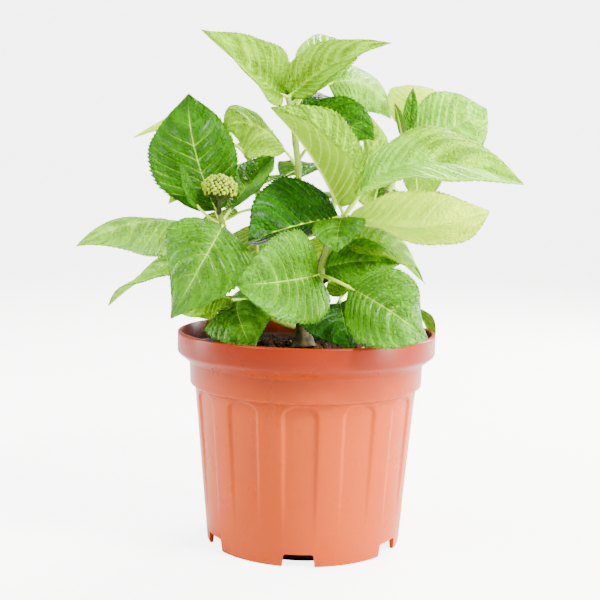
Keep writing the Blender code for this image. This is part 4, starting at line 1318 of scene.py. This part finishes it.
# %% Pot finish
# Zones painted dark soil brown: inside the mouth partly soil stain and partly painted shade, in the hollow
# under the foot painted shade
SOIL_AND_SHADE_ZONES = (
    # inside this radius, from this height to that one; millimetres
    (RIM_RADIUS - 2.4, 126.5, 142.0), (RIM_RADIUS - 3.3, 124.0, 126.6), (79.2, 121.4, 124.1),
    (76.8, 119.4, 121.5), (75.8, 108.0, 119.5), (CHANNEL_OUTER + 0.1, -1.0, CHANNEL_HEIGHT + 1.0),
)


def soil_and_shade_share(tree, radius, height):
    """One in the zones painted dark soil brown: the wall above the mix, partly soil stain and partly painted
    shade, and the hollow below the foot, painted shade.
    """
    zones = []
    for reach, low, high in SOIL_AND_SHADE_ZONES:
        inside = calc(tree, "LESS_THAN", radius, reach * MM)
        over, under = calc(tree, "GREATER_THAN", height, low * MM), calc(tree, "LESS_THAN", height, high * MM)
        zones.append(calc(tree, "MULTIPLY", inside, calc(tree, "MULTIPLY", over, under)))
    total = zones[0]
    for zone in zones[1:]:
        total = calc(tree, "MAXIMUM", total, zone)
    return total


def blended(tree, share, low, high):
    """Colour between two colours at a share; sockets 6 and 7 and the third output carry colours."""
    return add(tree, "ShaderNodeMix", {0: share, 6: low, 7: high}, data_type="RGBA").outputs[2]


def pot_finish():
    """Terracotta-coloured plastic, deeper in colour on the rim partly by painted shade, painted dark soil
    brown inside the mouth and below the foot as soil stain and painted shade, and scuffed all over.
    """
    material, shader = finish("terracotta_coloured_plastic", "#A44A10", 0.29, ior=1.49,
                              Specular_IOR_Level=0.16)
    tree = material.node_tree
    spot = place(tree)
    x, y, height = add(tree, "ShaderNodeSeparateXYZ", {"Vector": spot}).outputs
    # The body's colour turns to a deeper one on the rim: partly a paler, dusty body below, partly painted
    # shade on the rim
    level = calc(tree, "ADD", height, calc(tree, "MULTIPLY", noise(tree, spot, 22.0, 6.0), 0.012))
    share = add(tree, "ShaderNodeMapRange", {"Value": level, "From Min": 0.10, "From Max": 0.135})
    plastic = blended(tree, share, linear("#B24202"), linear("#822202"))
    radius = vector_calc(tree, "LENGTH", add(tree, "ShaderNodeCombineXYZ", {"X": x, "Y": y})).outputs["Value"]
    above = add(tree, "ShaderNodeMapRange", {"Value": level, "From Min": 0.145, "From Max": 0.132})
    soil_and_shade = calc(tree, "MULTIPLY", soil_and_shade_share(tree, radius, height), above)
    # Painted shade and soil stain: dark soil brown in the zones above
    feed(shader, "Base Color", blended(tree, soil_and_shade, plastic, linear("#2A1810")))
    scuff = noise(tree, spot, 70.0, 5.0)
    feed(shader, "Roughness", add(tree, "ShaderNodeMapRange", {
        "Value": scuff, "From Min": 0.3, "From Max": 0.7, "To Min": 0.25, "To Max": 0.34,
    }))
    relief(shader, scuff, 0.00005)
    return material


POT_PLASTIC = pot_finish()
print(POT_PLASTIC.name, "of", len(POT_PLASTIC.node_tree.nodes), "nodes")

# %% [markdown]
# ## The shown pot
#
# The shown pot is turned from the same section as the plain one, with its corners rounded, as a mould needs,
# and with many more columns.  A bevel could round the corners too, but it would also soften the flutes, so
# the section is rounded before it is turned.

# %% Turned pot
CORNER_RADIUS = 0.7
ARCH_RISE = 6.5


def rounded(profile, radius, steps):
    """Round every corner of a section that is not on the fluted wall."""
    made = [profile[0]]
    for before, corner, after in zip(profile, profile[1:], profile[2:]):
        if abs(corner[0] - outer_radius(corner[1])) < 0.01 and 0.0 < corner[1] < FLUTE_TOP:
            made.append(corner)
            continue
        legs = []
        for other in (before, after):
            away = math.dist(corner, other)
            share = min(radius, 0.42 * away) / away
            legs.append([c + (o - c) * share for c, o in zip(corner, other)])
        for k in range(steps + 1):
            t = k / steps
            made.append(tuple(a * (1 - t) ** 2 + c * 2 * t * (1 - t) + b * t ** 2
                              for a, c, b in zip(legs[0], corner, legs[1])))
    made.append(profile[-1])
    return made


def fine_offsets():
    """Columns about a flute's middle: close together on its steep sides, even elsewhere."""
    inner, outer = FLUTE_HALF_ANGLE - 1.4, FLUTE_HALF_ANGLE + FLUTE_EDGE
    side = [inner + (outer - inner) * k / 7 for k in range(8)]
    floor = [inner * k / 7 for k in range(7)]
    land = [outer + (FLUTE_PITCH - 2.0 * outer) * k / 5 for k in (1, 2)]
    positive = floor + side + land
    offsets = [-v for v in reversed(positive[1:])] + positive
    made = []
    for offset in offsets:
        down = min(1.0, max(0.0, (outer - abs(offset)) / (outer - inner)))
        made.append((offset, down * down * (3.0 - 2.0 * down)))
    return made


def arch_flutes(points):
    """Close the top of each flute with a shallow arch, so that it ends in a crescent below the collar."""
    for point in points:
        radius = math.hypot(point.x, point.y)
        if FLUTE_TOP - 14.0 < point.z < FLUTE_TOP and radius > inner_radius(point.z) + 0.4 * WALL:
            turn = math.degrees(math.atan2(point.y, point.x)) - PATTERN_TURN
            half_pitch = 0.5 * FLUTE_PITCH
            offset = abs((turn + half_pitch) % FLUTE_PITCH - half_pitch) / (FLUTE_HALF_ANGLE + FLUTE_EDGE)
            crown = FLUTE_TOP - 1.0 - ARCH_RISE * min(1.0, offset) ** 2.5
            fill = min(1.0, max(0.0, (point.z - crown) / 1.8 + 0.5))
            wanted = radius + (outer_radius(point.z) - radius) * fill
            point.x, point.y = point.x * wanted / radius, point.y * wanted / radius


arch_foot = FLUTE_TOP - 16.0
heights = [FLUTE_FADE + (arch_foot - FLUTE_FADE) * (k / 16) ** 0.85 for k in range(16)]
heights += [arch_foot + 15.6 * k / 26 for k in range(27)]
fine_profile = rounded(pot_profile(heights), CORNER_RADIUS, 4)
pot_points, pot_faces = pot_solid(pot_columns(fine_offsets()), fine_profile)
arch_flutes(pot_points)
pot = mesh_object("nursery_pot", metres(pot_points), pot_faces, [POT_PLASTIC])
print("pot section of", len(fine_profile), "stations,", len(pot.data.polygons), "faces")

# %% [markdown]
# ## Drainage notches
#
# Six notches with slanting sides let water run out from below the pot, one below every second flute.  They
# could be modelled into the columns of the wall, but their sides do not follow those columns, so wedges cut
# them through the turned wall.

# %% Notches in the foot
def notch_cutter(turn):
    """Wedge that cuts one drainage notch through the foot of the outer wall."""
    out = heading(turn, 0.0)
    side = Vector((-out.y, out.x, 0.0))
    corners = (
        (NOTCH_WIDTH_FOOT, -1.0), (NOTCH_WIDTH_TOP + 1.2, NOTCH_HEIGHT - 1.2),
        (NOTCH_WIDTH_TOP + 0.2, NOTCH_HEIGHT - 0.3), (NOTCH_WIDTH_TOP - 1.6, NOTCH_HEIGHT),
    )
    outline = [side * (0.5 * w) + Vector((0.0, 0.0, z)) for w, z in corners]
    outline += [side * (-0.5 * w) + Vector((0.0, 0.0, z)) for w, z in reversed(corners)]
    depths = (CHANNEL_OUTER - 4.5, FOOT_RADIUS + 4.0)
    return skin([[out * reach + point for point in outline] for reach in depths])


cut_points, cut_faces = [], []
for k in range(NOTCHES):
    p, f = notch_cutter(PATTERN_TURN + 360.0 * k / NOTCHES)
    cut_faces += [tuple(index + len(cut_points) for index in face) for face in f]
    cut_points += metres(p)
cutter = mesh_object("notch_cutters", cut_points, cut_faces, [])
cut = pot.modifiers.new("notches", "BOOLEAN")
cut.operation = "DIFFERENCE"
cut.solver = "EXACT"
cut.object = cutter
pot.data = bpy.data.meshes.new_from_object(pot.evaluated_get(bpy.context.evaluated_depsgraph_get()))
pot.modifiers.clear()
bpy.data.objects.remove(cutter)
pot.data.set_sharp_from_angle(angle=math.radians(50.0))
print("pot with notches:", len(pot.data.polygons), "faces")

# %% [markdown]
# ## The potting mix
#
# Peat and composted bark settle into a lumpy surface, a little higher round the stem than at the wall.
# The bed is a closed disc of rings whose height follows a few slow waves; a displaced plane would need
# trimming to the pot's mouth.

# %% Bed of mix
BED_BOTTOM = 114.0
BED_RINGS = 44
BED_SIDES = 150


def bed_height(x, y):
    """Height of the mix's surface, under the plain solid's top."""
    radius = math.hypot(x, y)
    level = float(np.interp(radius, (MIX_FLAT, MIX_SLOPE, MIX_SHOULDER, 72.0, 75.0),
                            (MIX_TOP, MIX_TOP - 0.6, MIX_EDGE + 0.6, MIX_EDGE, MIX_EDGE - 1.4)))
    lump = 1.1 + 0.8 * math.sin(x * 0.31 + 1.0) * math.sin(y * 0.27 + 2.0) + 0.5 * math.sin(x * 0.9 + y * 0.7)
    return level - 0.5 - max(0.0, lump)


def mix_bed():
    """Closed bed of mix inside the pot's mouth."""
    edge = inner_radius(MOUTH) - GAP * 1.5
    points = [Vector((0.0, 0.0, bed_height(0.0, 0.0)))]
    for k in range(1, BED_RINGS + 1):
        level = polygon(edge * (k / BED_RINGS) ** 0.9, BED_SIDES)
        points += [Vector((x, y, bed_height(x, y))) for x, y in level]
    first = len(points)
    points += [Vector((x, y, BED_BOTTOM)) for x, y in polygon(edge, BED_SIDES)]
    faces = [(0, 1 + k, 1 + (k + 1) % BED_SIDES) for k in range(BED_SIDES)]
    faces += [(a, d, c, b) for a, b, c, d in band(BED_RINGS + 1, BED_SIDES, 1)]
    faces.append(tuple(first + k for k in reversed(range(BED_SIDES))))
    return points, faces


def crumb_finish(name, dark, light, roughness):
    """Crumbly matter that varies between two colours."""
    return speckled(name, dark, roughness, 700.0, 4.0, (dark, light), (0.38, 0.66), 0.0005)


PEAT = crumb_finish("damp_peat", "#2B1D14", "#4C3626", 0.92)
bed_points, bed_faces = mix_bed()
bed = mesh_object("mix_bed", metres(bed_points), bed_faces, [PEAT])
print("bed of", len(bed_faces), "faces")

# %% [markdown]
# ## Crumbs, bark chips and perlite
#
# The mix is loose matter: dark crumbs, flat chips of bark and a few grains of white perlite.  A particle
# system could strew them; one Geometry Nodes tree does it here, because it can keep to the upward faces
# inside the pot's mouth and leaves a plain mesh.

# %% Crumbs
STEEPEST = 0.4
FULL_TURN = 6.28


def scatter_tree():
    """Grains of random size and turn over the upward faces of a surface."""
    tree, given = new_tree("scatter", {
        "Per Square Metre": "Float", "Grain": "Float", "Length": "Float", "Flatness": "Float",
        "Bed Radius": "Float", "Seed": "Int",
    })
    normal = add(tree, "GeometryNodeInputNormal").outputs["Normal"]
    up = add(tree, "ShaderNodeSeparateXYZ", {"Vector": normal}).outputs["Z"]
    flat = vector_calc(tree, "MULTIPLY", add(tree, "GeometryNodeInputPosition"), (1.0, 1.0, 0.0))
    radius = vector_calc(tree, "LENGTH", flat).outputs["Value"]
    upward = add(tree, "FunctionNodeCompare", {0: up, 1: STEEPEST}, operation="GREATER_THAN")
    inward = add(tree, "FunctionNodeCompare", {0: radius, 1: given["Bed Radius"]}, operation="LESS_THAN")
    chosen = add(tree, "FunctionNodeBooleanMath", {0: upward, 1: inward}, operation="AND")
    spread = add(tree, "GeometryNodeDistributePointsOnFaces", {
        "Mesh": given["Geometry"], "Selection": chosen, "Density": given["Per Square Metre"],
        "Seed": given["Seed"],
    })
    grain = add(tree, "GeometryNodeMeshIcoSphere", {"Radius": given["Grain"], "Subdivisions": 1})
    shape = add(tree, "ShaderNodeCombineXYZ", {"X": given["Length"], "Y": 1.0, "Z": given["Flatness"]})
    rough = add(tree, "ShaderNodeTexNoise", {"Scale": 900.0, "Detail": 1.0}).outputs["Color"]
    outward = add(tree, "ShaderNodeVectorMath", {0: normal, "Scale": 0.0006}, operation="SCALE")
    chipped = add(tree, "GeometryNodeSetPosition", {
        "Geometry": grain, "Offset": vector_calc(tree, "MULTIPLY", outward, rough),
    })
    shaped = add(tree, "GeometryNodeTransform", {"Geometry": chipped, "Scale": shape})
    turn = add(tree, "FunctionNodeRandomValue", {
        0: (0.0, 0.0, 0.0), 1: (FULL_TURN,) * 3, "Seed": given["Seed"],
    }, data_type="FLOAT_VECTOR")
    placed = add(tree, "GeometryNodeInstanceOnPoints", {
        "Points": spread, "Instance": shaped, "Rotation": turn,
        "Scale": chance_number(tree, 0.35, 1.0, given["Seed"]),
    })
    return end_tree(tree, placed, given["Finish"])


CHIP = crumb_finish("composted_bark_chip", "#3E2819", "#6B4A30", 0.85)
PERLITE = finish("perlite_grain", "#D8D2C6", 0.85)[0]
SCATTER = scatter_tree()
crumbs = []
for name, density, grain, length, flat, material in (
    # name, grains per square metre, radius in millimetres, length and flatness against the radius, finish
    ("mix_crumbs", 160000.0, 1.3, 1.3, 0.8, PEAT),
    ("mix_bark_chips", 26000.0, 1.8, 2.2, 0.45, CHIP),
    ("mix_perlite", 5200.0, 1.25, 1.1, 0.9, PERLITE),
):
    obj = bpy.data.objects.new(name, bed.data.copy())
    bpy.context.scene.collection.objects.link(obj)
    crumbs.append(run_tree(obj, SCATTER, {
        "Per Square Metre": density, "Grain": grain * MM, "Length": length, "Flatness": flat,
        "Bed Radius": (inner_radius(MOUTH) - 3.2) * MM, "Seed": SEED + len(crumbs), "Finish": material,
    }))
    print(name, len(obj.data.polygons), "faces")

# %% [markdown]
# ## Tying the pieces to the solids
#
# Each finished piece rides on the plant's one rigid body and stands for the solids that it replaces.

# %% Pieces
MASSES = ["foliage_" + shoot.name for shoot in SHOOTS]
BOUGHS = ["bough_" + shoot.name for shoot in SHOOTS if shoot.bough]
for obj in leaf_objects + [green, stalks, head, core, buds]:
    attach(obj, "root")
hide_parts(*MASSES)
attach(wood, "root")
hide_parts("main_stem", *BOUGHS)
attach(pot, "root")
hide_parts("pot")
for obj in [bed] + crumbs:
    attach(obj, "root")
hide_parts("potting_mix")
print(len(MASSES), "masses and", len(BOUGHS), "boughs dressed")

# %% [markdown]
# ## Floor and sky
#
# The plant stands on a pale paper sweep, as in a product studio.  Paper and sky look bright to the camera
# alone, so that they throw no white veil over the greens; to everything else the sky is weak.  A bright sky
# for all would be simpler, but its reflection would bleach the leaves.

# %% Floor and sky
SWEEP_START, SWEEP_RADIUS = 2.0, 1.2


def sweep_sheet():
    """Paper sweep: flat under the plant, then curving up into a wall behind it; metres."""
    line = [(-12.0, 0.0), (0.0, 0.0), (SWEEP_START, 0.0)]
    for k in range(1, 13):
        turn = 0.5 * math.pi * k / 12
        across, up = SWEEP_RADIUS * math.sin(turn), SWEEP_RADIUS - SWEEP_RADIUS * math.cos(turn)
        line.append((SWEEP_START + across, up))
    line.append((SWEEP_START + SWEEP_RADIUS, 5.0))
    points = [(x, y, z) for y, z in line for x in (-9.0, 9.0)]
    return points, [(2 * k, 2 * k + 1, 2 * k + 3, 2 * k + 2) for k in range(len(line) - 1)]


def brightened(tree, seen, base):
    """Strength that is higher where the camera looks straight at it."""
    return calc(tree, "MULTIPLY_ADD", add(tree, "ShaderNodeLightPath").outputs["Is Camera Ray"], seen, base)


paper, paper_shader = finish("pale_studio_paper", "#E8E8E7", 0.95, Specular_IOR_Level=0.0)
feed(paper_shader, "Emission Color", linear("#FFFFFF"))
feed(paper_shader, "Emission Strength", brightened(paper.node_tree, 4.8, 0.0))
floor = mesh_object("floor", *sweep_sheet(), [paper])

world = bpy.data.worlds.new("pale_sky")
world.use_nodes = True
sky = world.node_tree.nodes["Background"]
feed(sky, "Color", linear("#F6F7F8"))
feed(sky, "Strength", brightened(world.node_tree, 8.0, 0.4))
bpy.context.scene.world = world
print("paper sweep of", len(floor.data.polygons), "faces")

# %% [markdown]
# ## Lights
#
# A small key light from high on the right models the leaves, a weaker one from the left softens its shadows,
# tall strips give the pot its long highlights, and a light behind lets the leaves glow.  They are oblong
# area lights, because a strip's reflection shows how round and how smooth the pot is.

# %% Lights
def soft_light(name, spot, target, width, height, power, code="#FFFFFF"):
    """Oblong soft light that looks at a point; lengths in metres."""
    light = bpy.data.lights.new(name, "AREA")
    light.shape = "RECTANGLE"
    light.size, light.size_y = width, height
    light.energy = power
    light.color = linear(code)[:3]
    obj = bpy.data.objects.new(name, light)
    obj.location = spot
    obj.rotation_euler = (Vector(target) - Vector(spot)).to_track_quat("-Z", "Y").to_euler()
    bpy.context.scene.collection.objects.link(obj)
    return obj


lights = [
    soft_light("key_light", (0.85, -0.70, 1.45), (0.0, 0.0, 0.2), 0.35, 0.35, 66.0, "#FFFCF4"),
    soft_light("left_light", (-0.9, -0.55, 1.2), (0.0, 0.0, 0.2), 0.5, 0.5, 24.0, "#F2F7FF"),
    soft_light("left_strip", (-1.15, 0.2, 0.42), (0.0, 0.0, 0.15), 0.25, 0.9, 22.0),
    soft_light("right_strip", (1.15, -0.35, 0.42), (0.0, 0.0, 0.15), 0.35, 0.9, 52.0, "#FFFAF0"),
    soft_light("right_rim_strip", (0.95, 0.85, 0.5), (0.0, 0.0, 0.15), 0.25, 0.8, 26.0),
    soft_light("back_light", (0.5, 1.1, 1.3), (0.0, 0.0, 0.22), 0.5, 0.5, 60.0, "#FFFEF4"),
]
print(len(lights), "lights")

# %% [markdown]
# ## Camera
#
# The camera stands before the plant at the height of its leaves and looks slightly down on the pot's rim.
# Its focal length is written in pixels of the frame, as a camera fit gives it, and turned into the lens
# that Blender expects.

# %% Camera
CAMERA_SPOT = Vector((0.0, -0.7125, 0.2347))
PITCH, YAW, ROLL = 0.1052, -0.0066, 0.01845
FOCAL_PIXELS, FRAME_PIXELS, SENSOR = 1083.1, 600.0, 36.0


def camera_axes():
    """Viewing direction, right and up of a camera turned by its pitch, yaw and roll."""
    ahead = Vector((math.sin(YAW) * math.cos(PITCH), math.cos(YAW) * math.cos(PITCH), -math.sin(PITCH)))
    right = ahead.cross(UP).normalized()
    up = right.cross(ahead)
    turned = right * math.cos(ROLL) + up * math.sin(ROLL)
    return ahead, turned, turned.cross(ahead)


camera = bpy.data.objects.new("camera", bpy.data.cameras.new("camera"))
ahead, right, up = camera_axes()
camera.matrix_world = Matrix.Translation(CAMERA_SPOT) @ Matrix((right, up, -ahead)).transposed().to_4x4()
camera.data.sensor_width = SENSOR
camera.data.lens = FOCAL_PIXELS * SENSOR / FRAME_PIXELS
bpy.context.scene.collection.objects.link(camera)
bpy.context.scene.camera = camera
print("lens", round(camera.data.lens, 1), "mm")
